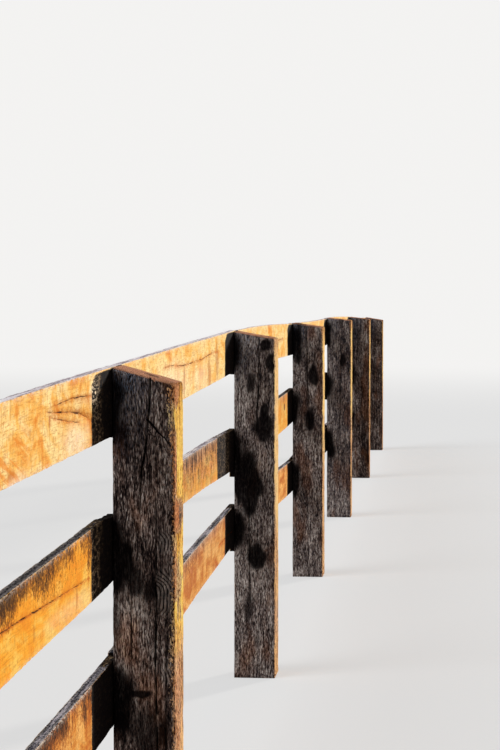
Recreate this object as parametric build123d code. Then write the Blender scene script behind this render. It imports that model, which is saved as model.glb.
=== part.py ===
from build123d import *
from math import cos, hypot, radians, sin, tan
import os

# Wooden post-and-rail fence, six bays, in millimetres. +X runs along the fence, +Z is up.
# The three rails lie on the posts' +Y faces. The origin is on the bottom face of the middle post.

# Layout
BAY_LENGTH = 2440
BAY_COUNT = 6

# Posts
POST_WIDTH = 140
POST_DEPTH = 140
POST_HEIGHT = 1150
POST_ARRIS = 4
POST_TOP_WEAR = 9

# How far the round of the log comes inside a post's corners at its top, and clears them at its foot
POST_WANE = 4
POST_FOOT_CLEARANCE = 3

# Rails
RAIL_HEIGHT = 150
RAIL_THICKNESS = 24
RAIL_ARRIS = 2.5
BUTT_GAP = 5

# Distance from the top of a post, at its rail side, down to the upper edge of each rail
RAIL_DROPS = {"top": 2, "middle": 318, "bottom": 625}

# How far each post's top stands above or below the common height
POST_RISES = (-46, 0, 25, 11, -2, -32, -71)

# Slope of each post's top, in degrees, down from the rail side to the open side
POST_SLOPES = (10.5, 15.5, 10.0, 8.0, 6.0, 7.0, 9.5)

# Height by which the two ends of each rail miss their level line, bay by bay: near end, far end
END_SHIFTS = {
    "top": ((-2, 2), (2, 5), (4, -2), (1, -3), (0, 3), (-2, 0)),
    "middle": ((-14, -1), (-16, -14), (-25, 19), (7, 3), (-4, 6), (-3, 5)),
    "bottom": ((-25, -22), (-10, 35), (16, -3), (9, -6), (6, -7), (6, -2)),
}

# Difference of each rail's own height from the common one, because the boards were cut from
# tapering logs: near end, far end
HEIGHT_SHIFTS = {
    "top": ((-4, 5), (12, -9), (2, -6), (-3, 2), (4, -3), (0, -5)),
    "middle": ((0, 5), (-40, -10), (7, 5), (-12, -6), (3, -4), (-8, 2)),
    "bottom": ((0, -2), (6, -20), (-4, -6), (-2, -8), (-14, -10), (4, -2)),
}

# Crook of each rail, how far its middle bows up, and its bow, how far the middle springs outwards
CROOKS = {
    "top": (4, -1, 5, -5, 3, -6),
    "middle": (-3, 15, -4, 6, -8, 4),
    "bottom": (-2, 7, 1, 5, -4, 7),
}
BOWS = (7, 4, 9, 5, 8, 3)

# Number of straight stretches that make up the bend of a rail between its seats
RAIL_SPANS = 7

# How far the sawn ends of the rails lean along the fence from their foot to their top
END_SKEWS = (1.6, -1.2)

# A wane runs along the outer upper arris of these rails: its depth at the near end, as a share of
# the rail's thickness. The round of the log is cut as a few narrow flats.
WANES = {
    ("top", 2): 17 / 24,
    ("middle", 0): 8 / 24,
    ("bottom", 3): 18 / 24,
    ("middle", 4): 14 / 24,
    ("top", 5): 10 / 24,
}
WANE_RUN = 1300
WANE_FLATS = 3

# Drying checks in the posts: face, distance across from the centre line, distance of the upper
# end below the top, length, width, depth and sideways drift of the lower end
POST_CHECKS = (
    (("near", 22, 60, 520, 5, 24, -12), ("open", -10, 260, 420, 4, 20, 8)),
    (
        ("near", -16, -30, 310, 7, 34, 25),
        ("near", -12, 118, 58, 4, 12, -50),
        ("near", -26, 330, 560, 6, 26, -4),
        ("open", 12, 180, 560, 5, 26, -8),
    ),
    (("near", -16, -20, 380, 5, 26, 10), ("near", 20, 520, 400, 4, 18, -6)),
    (("near", 8, -20, 460, 5, 26, -14), ("open", -16, 300, 480, 4, 20, 6)),
    (("near", -12, 140, 560, 5, 24, 9), ("far", 10, -20, 380, 5, 24, -8)),
    (("near", 16, -20, 420, 5, 24, -10), ("open", 6, 420, 460, 4, 20, 7)),
    (("near", -8, 90, 480, 5, 24, 8), ("far", -14, -20, 520, 5, 26, 12)),
)

# Splits in the rails' faces towards the posts: course, bay, end, share of the rail's height below
# its upper edge, length, width, depth and how far the tip climbs
RAIL_SPLITS = (
    ("top", 0, "far", 0.62, 520, 4, 13, -8),
    ("top", 1, "near", 0.45, 400, 4, 13, 10),
    ("middle", 0, "far", 0.52, 1500, 5, 14, 6),
    ("middle", 2, "near", 0.40, 520, 4, 12, 12),
    ("bottom", 1, "far", 0.58, 460, 4, 12, -9),
    ("bottom", 4, "near", 0.50, 560, 4, 13, 8),
    ("top", 3, "far", 0.35, 540, 4, 12, 10),
    ("middle", 5, "far", 0.60, 430, 4, 12, -7),
)


def post_x(post):
    """Place of a post's centre along the fence; post 0 is the one nearest to the -X end."""
    return (post - BAY_COUNT / 2) * BAY_LENGTH


def post_top(post):
    """Height of a post at its rail side, the highest part of its sloping top."""
    return POST_HEIGHT + POST_RISES[post]


def lens(start, end, inward, width, depth):
    """Thin pointed solid from start to end that opens a crack of a given width and depth."""
    proud = inward * -1.0
    along = (end - start).normalized()
    across = along.cross(inward).normalized() * (width / 2)
    middle = (start + end) * 0.5
    rim_a = middle + proud + across
    rim_b = middle + proud - across
    root = middle + inward * depth
    mouth = make_face(Polyline(rim_a, rim_b, root, close=True))
    return loft([Vertex(*(start + proud)), mouth, Vertex(*(end + proud))], ruled=True)


def beyond(point, outward):
    """Everything on the outward side of a plane through a point, as a block to cut away."""
    span = 4 * max(POST_WIDTH, POST_DEPTH)
    block = Box(span, span, span, align=(Align.CENTER, Align.CENTER, Align.MIN))
    return Plane(origin=point, z_dir=outward) * block


def post_check(post, face, across, drop, length, width, depth, drift):
    """A drying check that runs down one face of a post."""
    upper = post_top(post) - drop
    lower = upper - length
    if face == "open":
        start = Vector(across, -POST_DEPTH / 2, upper)
        end = Vector(across + drift, -POST_DEPTH / 2, lower)
        return lens(start, end, Vector(0, 1, 0), width, depth)
    side = -1 if face == "near" else 1
    start = Vector(side * POST_WIDTH / 2, across, upper)
    end = Vector(side * POST_WIDTH / 2, across + drift, lower)
    return lens(start, end, Vector(-side, 0, 0), width, depth)


def build_post(post):
    """A sawn post with waney arrises, a sloping worn top and open drying checks."""
    top = post_top(post)
    timber = extrude(RectangleRounded(POST_WIDTH, POST_DEPTH, POST_ARRIS), top)

    # The log tapers, so its round shows on the arrises of the upper part
    corner = hypot(POST_WIDTH, POST_DEPTH) / 2
    log = Cone(corner + POST_FOOT_CLEARANCE, corner - POST_WANE, top)
    timber = timber & Pos(0, 0, top / 2) * log

    # The top falls away from the rails, to shed the rain
    slope = tan(radians(POST_SLOPES[post]))
    timber = timber - beyond(Vector(0, POST_DEPTH / 2, top), Vector(0, -slope, 1))

    # Weather has worn the near edge and the open edge of the end grain
    near_edge = Vector(-POST_WIDTH / 2 + POST_TOP_WEAR, 0, top - slope * POST_DEPTH / 2)
    open_edge = Vector(0, -POST_DEPTH / 2 + POST_TOP_WEAR, top - slope * (POST_DEPTH - POST_TOP_WEAR))
    timber = timber - beyond(near_edge, Vector(-0.7, -slope, 1))
    timber = timber - beyond(open_edge, Vector(0, -slope - 0.7, 1))

    for entry in POST_CHECKS[post]:
        timber = timber - post_check(post, *entry)
    return Pos(post_x(post), 0, 0) * timber


def rail_level(course, bay, end):
    """Height of a rail's upper edge at the middle of the post at its near or far end."""
    post = bay if end == "near" else bay + 1
    shift = END_SHIFTS[course][bay][0 if end == "near" else 1]
    return post_top(post) - RAIL_DROPS[course] + shift


def rail_stations(bay):
    """Places along a rail where its section is set: its ends, its seats' edges and the span."""
    near_stop = post_x(bay) + POST_WIDTH / 2
    far_start = post_x(bay + 1) - POST_WIDTH / 2
    places = [post_x(bay) + BUTT_GAP / 2]
    for step in range(RAIL_SPANS + 1):
        places.append(near_stop + (far_start - near_stop) * step / RAIL_SPANS)
    places.append(post_x(bay + 1) - BUTT_GAP / 2)
    return places


def rail_section(course, bay, x, end_skew):
    """Cross-section of a rail at a place along the fence, as a face that stands across it."""
    near_x = post_x(bay)
    far_x = post_x(bay + 1)
    share = (x - near_x) / (far_x - near_x)

    # The rail lies flat on its two posts and springs a little outwards between them
    clear = (x - near_x - POST_WIDTH / 2) / (far_x - near_x - POST_WIDTH)
    clear = min(max(clear, 0), 1)
    inner = POST_DEPTH / 2 + BOWS[bay] * 16 * (clear * (1 - clear)) ** 2
    outer = inner + RAIL_THICKNESS

    near_level = rail_level(course, bay, "near")
    far_level = rail_level(course, bay, "far")
    crook = CROOKS[course][bay] * 4 * share * (1 - share)
    upper = near_level + (far_level - near_level) * share + crook
    near_shift, far_shift = HEIGHT_SHIFTS[course][bay]
    height = RAIL_HEIGHT + near_shift + (far_shift - near_shift) * share
    lower = upper - height

    def place(y, z):
        """A corner of the section, with the sawn end's skew."""
        return (x + end_skew * ((z - lower) / height - 0.5), y, z)

    corners = [
        place(outer, lower + RAIL_ARRIS),
        place(outer - RAIL_ARRIS, lower),
        place(inner + RAIL_ARRIS, lower),
        place(inner, lower + RAIL_ARRIS),
        place(inner, upper - RAIL_ARRIS),
        place(inner + RAIL_ARRIS, upper),
    ]

    # The wane is the log's own round, deepest at the near end; other boards have a worn arris
    wane = WANES.get((course, bay), 0) * RAIL_THICKNESS * (1 - (x - near_x) / WANE_RUN)
    wane = max(wane, RAIL_ARRIS)
    flats = WANE_FLATS if (course, bay) in WANES else 1
    for number in range(flats + 1):
        turn = radians(90 * number / flats)
        corners.append(place(outer - wane + wane * sin(turn), upper - wane + wane * cos(turn)))
    return make_face(Polyline(*corners, close=True))


def rail_split(course, bay, end, share, length, width, depth, climb):
    """A split that runs into a rail from its end, in its face towards the posts."""
    height = RAIL_HEIGHT + HEIGHT_SHIFTS[course][bay][0 if end == "near" else 1]
    level = rail_level(course, bay, end) - share * height
    seat = POST_DEPTH / 2
    if end == "near":
        mouth_x = post_x(bay)
        inwards = 1
    else:
        mouth_x = post_x(bay + 1)
        inwards = -1
    start = Vector(mouth_x - inwards * length / 4, seat, level)
    tip = Vector(mouth_x + inwards * length, seat, level + climb)
    return lens(start, tip, Vector(0, 1, 0), width, depth)


def build_rail(course, bay):
    """A sawn rail that spans one bay and butts against the next one behind a post."""
    stations = rail_stations(bay)
    skew = END_SKEWS[bay % len(END_SKEWS)]
    sections = []
    for x in stations:
        at_end = x in (stations[0], stations[-1])
        sections.append(rail_section(course, bay, x, skew if at_end else 0))
    board = loft(sections, ruled=True)
    for entry in RAIL_SPLITS:
        if entry[:2] == (course, bay):
            board = board - rail_split(*entry)
    return board


os.makedirs("parts", exist_ok=True)
for number in range(BAY_COUNT + 1):
    export_step(build_post(number), f"parts/post_{number + 1}.step")
for rail_course in RAIL_DROPS:
    for number in range(BAY_COUNT):
        export_step(build_rail(rail_course, number), f"parts/{rail_course}_rail_{number + 1}.step")
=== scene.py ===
"""Weathered post-and-rail fence: detailed timber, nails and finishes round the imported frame."""

from __future__ import annotations

import logging
import math
from dataclasses import dataclass, field
from enum import Enum, IntEnum
from typing import Callable, Sequence, Union

import bpy
import numpy as np
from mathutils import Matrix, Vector


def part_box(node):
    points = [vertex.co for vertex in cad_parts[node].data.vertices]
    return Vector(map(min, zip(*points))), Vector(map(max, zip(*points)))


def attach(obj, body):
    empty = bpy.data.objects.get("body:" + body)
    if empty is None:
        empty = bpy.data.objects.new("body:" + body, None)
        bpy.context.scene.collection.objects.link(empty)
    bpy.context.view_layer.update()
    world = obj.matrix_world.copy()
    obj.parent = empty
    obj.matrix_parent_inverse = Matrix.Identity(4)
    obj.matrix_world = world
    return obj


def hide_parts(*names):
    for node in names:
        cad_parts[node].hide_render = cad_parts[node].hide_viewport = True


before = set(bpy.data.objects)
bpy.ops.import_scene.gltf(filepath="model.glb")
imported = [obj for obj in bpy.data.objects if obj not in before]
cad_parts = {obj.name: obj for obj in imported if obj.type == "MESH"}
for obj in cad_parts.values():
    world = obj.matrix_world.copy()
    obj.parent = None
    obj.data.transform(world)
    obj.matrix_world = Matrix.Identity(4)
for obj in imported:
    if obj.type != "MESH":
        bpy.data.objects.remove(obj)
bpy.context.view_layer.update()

LOG = logging.getLogger("fence")

# The fence's own grid, in metres. Bays and posts are numbered from the -X end, from 1 as in the
# node names.
BAY_LENGTH = 2.44
POST_COUNT = 7
HALF_POST = 0.07

# Distance from an arris that points in the middle of an end are given
FAR_FROM_ARRIS = 0.02

Colour = tuple[float, float, float]
Colours = tuple[Colour, ...]
Array = np.ndarray
Arrays = dict[str, Array]
Numbers = Union[float, Array]
Operand = Union["Wire", float, int, Sequence[float]]


def srgb(red: int, green: int, blue: int) -> Colour:
    """Linear colour for a colour picked on an 8-bit display scale."""

    def linear(level: int) -> float:
        """One channel, from display to linear."""
        share = level / 255
        return share / 12.92 if share <= 0.04045 else ((share + 0.055) / 1.055) ** 2.4

    return (linear(red), linear(green), linear(blue))


def smoothstep(low: Numbers, high: Numbers, values: Numbers) -> Numbers:
    """Smooth rise from 0 at low to 1 at high."""
    share = np.clip((values - low) / (high - low), 0.0, 1.0)
    return share * share * (3 - 2 * share)


def bell(distance: Array, width: Numbers) -> Array:
    """1 where the distance is 0, falling away over about the width on both sides."""
    return np.exp(-((distance / width) ** 2))


def on_line(places: Array) -> Array:
    """Points on the X axis at some places along it."""
    return np.stack([places, np.zeros_like(places), np.zeros_like(places)], axis=1)


def post_centre(number: int) -> float:
    """Place of a post's centre along the fence; post 1 stands at the -X end."""
    return (number - 1 - (POST_COUNT - 1) / 2) * BAY_LENGTH


@dataclass(frozen=True)
class GrainField:
    """A smooth random field that repeats exactly for its seed."""

    seed: int

    def corner(self, x: Array, y: Array, z: Array) -> Array:
        """Random numbers from -1 to 1 for whole-number lattice corners.

        Args:
            x, y, z: Integer coordinates of the corners.

        Returns:
            One number for each corner.
        """
        code = (x * 374761393 + y * 668265263 + z * 1274126177 + self.seed * 974711) & 0xFFFFFFFF
        code = ((code ^ (code >> 13)) * 1274126177) & 0xFFFFFFFF
        code = code ^ (code >> 16)
        return (code & 0xFFFFFF) / 0x7FFFFF - 1.0

    def at(self, points: Array, scale: Sequence[float]) -> Array:
        """The field at some points.

        Args:
            points: Array whose last axis holds x, y and z.
            scale: Cells per metre along x, y and z.

        Returns:
            Values from -1 to 1, in the shape of the points without their last axis.
        """
        spot = points * np.asarray(scale, dtype=float)
        cell = np.floor(spot)
        share = spot - cell
        share = share * share * share * (share * (share * 6 - 15) + 10)
        cell = cell.astype(np.int64)
        total = np.zeros(points.shape[:-1])
        for dx in (0, 1):
            wx = share[..., 0] if dx else 1 - share[..., 0]
            for dy in (0, 1):
                wy = share[..., 1] if dy else 1 - share[..., 1]
                for dz in (0, 1):
                    wz = share[..., 2] if dz else 1 - share[..., 2]
                    value = self.corner(cell[..., 0] + dx, cell[..., 1] + dy, cell[..., 2] + dz)
                    total += wx * wy * wz * value
        return total

    def layered(self, points: Array, scale: Sequence[float], layers: int = 3) -> Array:
        """Sum of the field at finer and finer scales.

        Args:
            points: Array whose last axis holds x, y and z.
            scale: Cells per metre of the coarsest layer.
            layers: Number of layers, each twice as fine and half as strong.

        Returns:
            Values from about -1 to 1.
        """
        total = np.zeros(points.shape[:-1])
        weight = 1.0
        whole = 0.0
        for layer in range(layers):
            finer = [step * 2**layer for step in scale]
            total += weight * self.at(points + 17.3 * layer, finer)
            whole += weight
            weight *= 0.5
        return total / whole


@dataclass(frozen=True)
class Relief:
    """Hollows of one size in a weathered surface.

    Attributes:
        depth: Depth of the deepest.
        scale: How many lie in a metre along x, y and z.
        layers: Number of layers, each twice as fine and half as strong.
    """

    depth: float
    scale: tuple[float, float, float]
    layers: int = 2

    def cut(self, grain: GrainField, points: Array) -> Array:
        """Depth of the hollows at some points."""
        return self.depth * (0.5 + 0.5 * grain.layered(points, self.scale, self.layers))


CRACK_GRAIN = GrainField(77)


class PostSide(IntEnum):
    """Sides of a post, in the order of the points round it."""

    OPEN = 0
    FAR = 1
    RAILS = 2
    NEAR = 3
    FOOT = 4
    TOP = 5


class RailSide(IntEnum):
    """Sides of a rail, in the order of the points round it."""

    UNDER = 0
    OUTER = 1
    UPPER = 2
    INNER = 3
    NEAR_END = 4
    FAR_END = 5


class Course(Enum):
    """The three courses of rails, by the names of their nodes."""

    TOP = "top"
    MIDDLE = "middle"
    BOTTOM = "bottom"


@dataclass(frozen=True)
class Crack:
    """An open crack in one side of a timber.

    Attributes:
        side: Number of the side.
        path: Points (along the timber, across the side) in the row frame, in metres.
        width: Widest opening.
        depth: Deepest point.
    """

    side: int
    path: tuple[tuple[float, float], ...]
    width: float
    depth: float

    @property
    def ends(self) -> tuple[float, float]:
        """Places along the timber at which the crack starts and ends."""
        along = [point[0] for point in self.path]
        return min(along), max(along)

    def line(self, along: Array) -> Array:
        """Places of the crack across its side, for places along the timber."""
        places, across = np.array(sorted(self.path)).T
        return np.interp(along, places, across)


def check(
    side: int, upper: float, length: float, across: float, drift: float, width: float, depth: float
) -> Crack:
    """A drying check that runs down one side of a post.

    Args:
        side, width, depth: As for any crack.
        upper, length: Height of its upper end, and its length.
        across, drift: Place of its upper end across the side, and its drift on the way down.

    Returns:
        The check.
    """
    middle = across + drift * 0.35
    path = ((upper, across), (upper - length * 0.5, middle), (upper - length, across + drift))
    return Crack(side, path, width, depth)


@dataclass(frozen=True)
class Spot:
    """A knot or a stain on a side: place along and across, and its reach along and across."""

    along: float
    across: float
    reach_along: float
    reach_across: float
    strength: float = 1.0

    def distance(self, along: Array, across: Array) -> Array:
        """Distance from the middle, 1 at the rim."""
        off_along = (along - self.along) / self.reach_along
        return np.hypot(off_along, (across - self.across) / self.reach_across)


def patches(
    spots: Sequence[Spot],
    along: Array,
    across: Array,
    fade: tuple[float, float],
    ragged: Numbers = 0.0,
) -> Array:
    """How far some patches cover the points of a surface.

    Args:
        spots: The patches.
        along: Places of the points along the timber.
        across: Places of the points across the side.
        fade: Distances at which a patch ends and at which it is at full strength, 1 at its rim.
        ragged: Added to the distance, to fray the patch.

    Returns:
        Strength of the strongest patch at each point.
    """
    cover = np.zeros(len(along))
    for spot in spots:
        near = smoothstep(fade[0], fade[1], spot.distance(along, across) + ragged)
        cover = np.maximum(cover, near * spot.strength)
    return cover


@dataclass
class Skin:
    """Points of a timber's surface, flat arrays of one row each."""

    points: Array
    side: Array
    crack: Array
    arris: Array
    faces: list[Array] = field(default_factory=list)


# Numbers of a stick's two ends, after its four sides
START_SIDE = 4
END_SIDE = 5

# Cracks: sideways wander, half width left where one is shut, columns kept between two of them and
# from the arrises, and the least share of the side between two columns
CRACK_WANDER = 0.0016
CRACK_LIP = 0.0005
CRACK_SPACING = 3
CRACK_MARGIN = 5
LEAST_SHARE = 0.0015


@dataclass
class Stick:
    """A squared timber, as rings of points at stations along it.

    Attributes:
        stations: Places along the timber.
        low: Lower bounds of the section's two axes at each station.
        high: Upper bounds of the section's two axes at each station.
        cells: Number of cells across each of the two kinds of side.
        rounding: Radius of each of the four arrises at each station.
        cracks: Open cracks, which rows of points follow.
    """

    stations: Array
    low: Array
    high: Array
    cells: tuple[int, int]
    rounding: Array
    cracks: Sequence[Crack] = ()

    def steps(self, length: float, count: int) -> Array:
        """Shares across a side at which its points lie, closer together at the arrises."""
        close = np.array([0.0, 0.0009, 0.0024, 0.0046]) if count >= 8 else np.array([0.0, 0.0016])
        inner = np.linspace(close[-1], length - close[-1], count - 2 * (len(close) - 1) + 1)
        return np.concatenate([close[:-1], inner, length - close[-2::-1]]) / length

    def share(self, side: int, across: Array) -> Array:
        """Share across a side for places across it, at every station."""
        axis = side % 2
        low, high = self.low[:, axis], self.high[:, axis]
        share = (across - low) / (high - low)
        return share if side < 2 else 1 - share

    def openings(self, side: int) -> list[tuple[Array, Array, Crack]]:
        """The cracks of one side, in their order across it.

        Args:
            side: Number of the side.

        Returns:
            For each crack, its shares across the side and how open it is at every station.
        """
        rows = len(self.stations)
        found = []
        for crack in self.cracks:
            if crack.side != side:
                continue
            start, end = crack.ends
            first = np.full(rows, crack.path[0][1])
            spots = np.stack([self.stations, first, np.full(rows, side * 7.0)], axis=1)
            wander = CRACK_WANDER * CRACK_GRAIN.layered(spots, (26, 1, 1), 3)
            centre = self.share(side, crack.line(self.stations) + wander)
            travel = (self.stations - start) / (end - start)
            shape = np.sqrt(np.clip(4 * travel * (1 - travel), 0, 1))
            pinch = 0.88 + 0.9 * CRACK_GRAIN.layered(spots + 3.0, (34, 1, 1), 2)
            shape = shape * np.clip(pinch, 0.2, 1.0)
            found.append((centre, shape, crack))
        return sorted(found, key=lambda entry: float(entry[0].mean()))

    def across(self, side: int) -> tuple[Array, Array, Array]:
        """Where the points of one side lie. Three columns of them follow each crack.

        Args:
            side: Number of the side.

        Returns:
            Shares across the side, how open a crack is at each point, and the crack's depth
            there, each with a row for a station.
        """
        axis = side % 2
        length = self.high[:, axis] - self.low[:, axis]
        count = self.cells[axis]
        steps = self.steps(float(length.mean()), count)
        rows = len(self.stations)
        opening = np.zeros((rows, count + 1))
        depth = np.zeros((rows, count + 1))
        columns = [0]
        places = [np.zeros(rows)]
        for centre, shape, crack in self.openings(side):
            column = int(np.argmin(np.abs(steps - float(centre.mean()))))
            column = max(column, columns[-1] + CRACK_SPACING if len(columns) > 1 else CRACK_MARGIN)
            if column > count - CRACK_MARGIN:
                continue
            half = (CRACK_LIP + shape * crack.width / 2) / length
            columns += [column - 1, column, column + 1]
            places += [centre - half, centre, centre + half]
            opening[:, column] = shape
            opening[:, column - 1] = opening[:, column + 1] = 0.3 * shape
            depth[:, column] = shape * crack.depth
        columns.append(count)
        places.append(np.ones(rows))
        target = np.stack(places, axis=1)
        for index in range(1, target.shape[1]):
            target[:, index] = np.maximum(target[:, index], target[:, index - 1] + LEAST_SHARE)
        last = target.shape[1] - 1
        target = np.minimum(target, 1 - LEAST_SHARE * (last - np.arange(last + 1)))
        shares = np.zeros((rows, count + 1))
        for index in range(last):
            first, second = columns[index], columns[index + 1]
            part = (steps[first : second + 1] - steps[first]) / (steps[second] - steps[first])
            start, end = target[:, index, None], target[:, index + 1, None]
            shares[:, first : second + 1] = start + (end - start) * part
        return shares, opening, depth

    def outline(self) -> Arrays:
        """The rings of points, before any relief.

        Returns:
            place and outward (section coordinates and outward direction), side, opening, depth
            and arris (distance to the nearest arris), one row for a station.
        """
        spans = self.high - self.low
        corners = [(0, 0), (1, 0), (1, 1), (0, 1)]
        places, outwards, sides, openings, depths, arrises = [], [], [], [], [], []
        for side in range(4):
            shares, opening, depth = (part[:, :-1] for part in self.across(side))
            axis = side % 2
            moving = shares if side < 2 else 1 - shares
            fixed = float(side in (1, 2))
            pair = [np.full_like(shares, fixed), np.full_like(shares, fixed)]
            pair[axis] = moving
            place = np.stack(pair, axis=2) * spans[:, None, :] + self.low[:, None, :]
            outward = np.zeros_like(place)
            outward[..., 1 - axis] = 1.0 if fixed else -1.0
            places.append(place)
            outwards.append(outward)
            sides.append(np.full(shares.shape, side))
            openings.append(opening)
            depths.append(depth)
            arrises.append(np.minimum(shares, 1 - shares) * spans[:, None, axis])
        place = np.concatenate(places, axis=1)
        outward = np.concatenate(outwards, axis=1)
        for number, corner in enumerate(corners):
            sign = np.array([1.0 if part else -1.0 for part in corner])
            radius = self.rounding[:, number, None, None]
            tip = np.where(np.array(corner) > 0, self.high, self.low)[:, None, :]
            centre = tip - sign * radius
            offset = (place - centre) * sign
            inside = (offset > 0).all(axis=2, keepdims=True)
            reach = np.maximum(np.linalg.norm(offset, axis=2, keepdims=True), 1e-9)
            place = np.where(inside, centre + sign * offset * radius / reach, place)
            outward = np.where(inside, sign * offset / reach, outward)
        return {
            "place": place,
            "outward": outward,
            "side": np.concatenate(sides, axis=1),
            "opening": np.concatenate(openings, axis=1),
            "depth": np.concatenate(depths, axis=1),
            "arris": np.concatenate(arrises, axis=1),
        }

    def rim_numbers(self) -> Array:
        """Grid of an end, with the ring's point numbers on its border and -1 inside.

        Returns:
            The grid.
        """
        wide, high = self.cells
        numbers = np.full((wide + 1, high + 1), -1)
        ring = 2 * (wide + high)
        numbers[:, 0] = np.arange(wide + 1)
        numbers[-1, :] = wide + np.arange(high + 1)
        numbers[::-1, -1] = wide + high + np.arange(wide + 1)
        numbers[0, ::-1] = (2 * wide + high + np.arange(high + 1)) % ring
        return numbers

    def end_grid(self, rim: Array) -> Array:
        """Points that fill an end between its rim's points.

        Args:
            rim: The ring's points.

        Returns:
            Grid of points whose border is the rim.
        """
        numbers = self.rim_numbers()
        under, over = rim[numbers[:, 0]][:, None], rim[numbers[:, -1]][:, None]
        left, right = rim[numbers[0, :]][None], rim[numbers[-1, :]][None]
        u = np.linspace(0, 1, numbers.shape[0])[:, None, None]
        v = np.linspace(0, 1, numbers.shape[1])[None, :, None]
        corners = (1 - u) * (1 - v) * rim[numbers[0, 0]] + u * (1 - v) * rim[numbers[-1, 0]]
        corners = corners + (1 - u) * v * rim[numbers[0, -1]] + u * v * rim[numbers[-1, -1]]
        return (1 - v) * under + v * over + (1 - u) * left + u * right - corners

    def skin(
        self,
        rings: Array,
        outline: Arrays,
        dress_end: Callable[[Array, bool], Array],
    ) -> Skin:
        """Join the rings into sides and close both ends.

        Args:
            rings: Final points, one row for a station.
            outline: What outline() returned.
            dress_end: Gives the final points of an end's inner grid, at the far end or not.

        Returns:
            The closed surface.
        """
        rows, ring = rings.shape[:2]
        numbers = np.arange(rows * ring).reshape(rows, ring)
        after = np.roll(numbers, -1, axis=1)
        quads = np.stack([numbers[:-1], after[:-1], after[1:], numbers[1:]], axis=-1)
        faces = [quads.reshape(-1, 4)]
        points = [rings.reshape(-1, 3)]
        sides = [outline["side"].reshape(-1)]
        openings = [outline["opening"].reshape(-1)]
        arrises = [outline["arris"].reshape(-1)]
        used = rows * ring
        for far, side in ((False, START_SIDE), (True, END_SIDE)):
            row = rows - 1 if far else 0
            grid = self.end_grid(rings[row])
            inner = dress_end(grid[1:-1, 1:-1], far).reshape(-1, 3)
            layout = self.rim_numbers() + row * ring
            layout[1:-1, 1:-1] = used + np.arange(len(inner)).reshape(layout[1:-1, 1:-1].shape)
            used += len(inner)
            cell = [layout[:-1, :-1], layout[1:, :-1], layout[1:, 1:], layout[:-1, 1:]]
            if not far:
                cell.reverse()
            faces.append(np.stack(cell, axis=-1).reshape(-1, 4))
            points.append(inner)
            sides.append(np.full(len(inner), side))
            openings.append(np.zeros(len(inner)))
            arrises.append(np.full(len(inner), FAR_FROM_ARRIS))
        return Skin(
            np.concatenate(points),
            np.concatenate(sides),
            np.concatenate(openings),
            np.concatenate(arrises),
            faces,
        )


def add_piece(
    name: str,
    points: Array,
    faces: Sequence[Sequence[Sequence[int]]],
    marks: Arrays,
) -> bpy.types.Object:
    """Make a mesh object of some points and faces.

    Args:
        name: Name of the piece.
        points: Points in the row frame.
        faces: Blocks of faces, each face the numbers of its points.
        marks: Numbers for each point that its finish reads, by name.

    Returns:
        The new object, linked into the scene.
    """
    mesh = bpy.data.meshes.new(name)
    corners = [tuple(int(number) for number in row) for block in faces for row in block]
    mesh.from_pydata(points.tolist(), [], corners)
    mesh.polygons.foreach_set("use_smooth", np.ones(len(mesh.polygons), dtype=bool))
    for mark, values in marks.items():
        layer = mesh.attributes.new(mark, "FLOAT", "POINT")
        layer.data.foreach_set("value", np.asarray(values, dtype=np.float32))
    mesh.update()
    piece = bpy.data.objects.new(name, mesh)
    bpy.context.scene.collection.objects.link(piece)
    return piece


# What the weather has cut into the posts' sides and end grain
POST_GRAIN = Relief(0.0010, (105, 105, 8))
POST_HOLLOWS = Relief(0.0013, (32, 32, 3))
END_GRAIN = Relief(0.0016, (38, 38, 1), 3)

# Depths of chips on a post's usual arrises and on the broken one between near and open side, of
# that one's furrows, and of curly grain
CHIP = 0.0042
BROKEN_CHIP = 0.0075
FURROW = 0.0026
CURL = 0.0016

# Radius worn on the usual edges of a post's top, and on the open side's
EDGE_WEAR = 0.0032
OPEN_EDGE_WEAR = 0.006

# Checks in a post's top: directions in which they start from the heart, depth and half width
TOP_CHECKS = (-2.75, -1.1, 0.35, 1.7, 2.6)
TOP_CHECK_DEPTH = 0.0035
TOP_CHECK_WIDTH = 0.0021

# Half width of a slanting check at its upper end, and width of the hollow round it
SLIT = 0.0031
SLIT_HOLLOW = 0.0042

# Depths below a post's top at which rings lie close together, for its worn edges
NEAR_TOP = (0, 0.0006, 0.0018, 0.0036, 0.006, 0.009, 0.013, 0.018)

# How far the damp of the rails reaches across a post's near face, course by course
DAMP_REACHES = (0.030, 0.022, 0.018)


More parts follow.
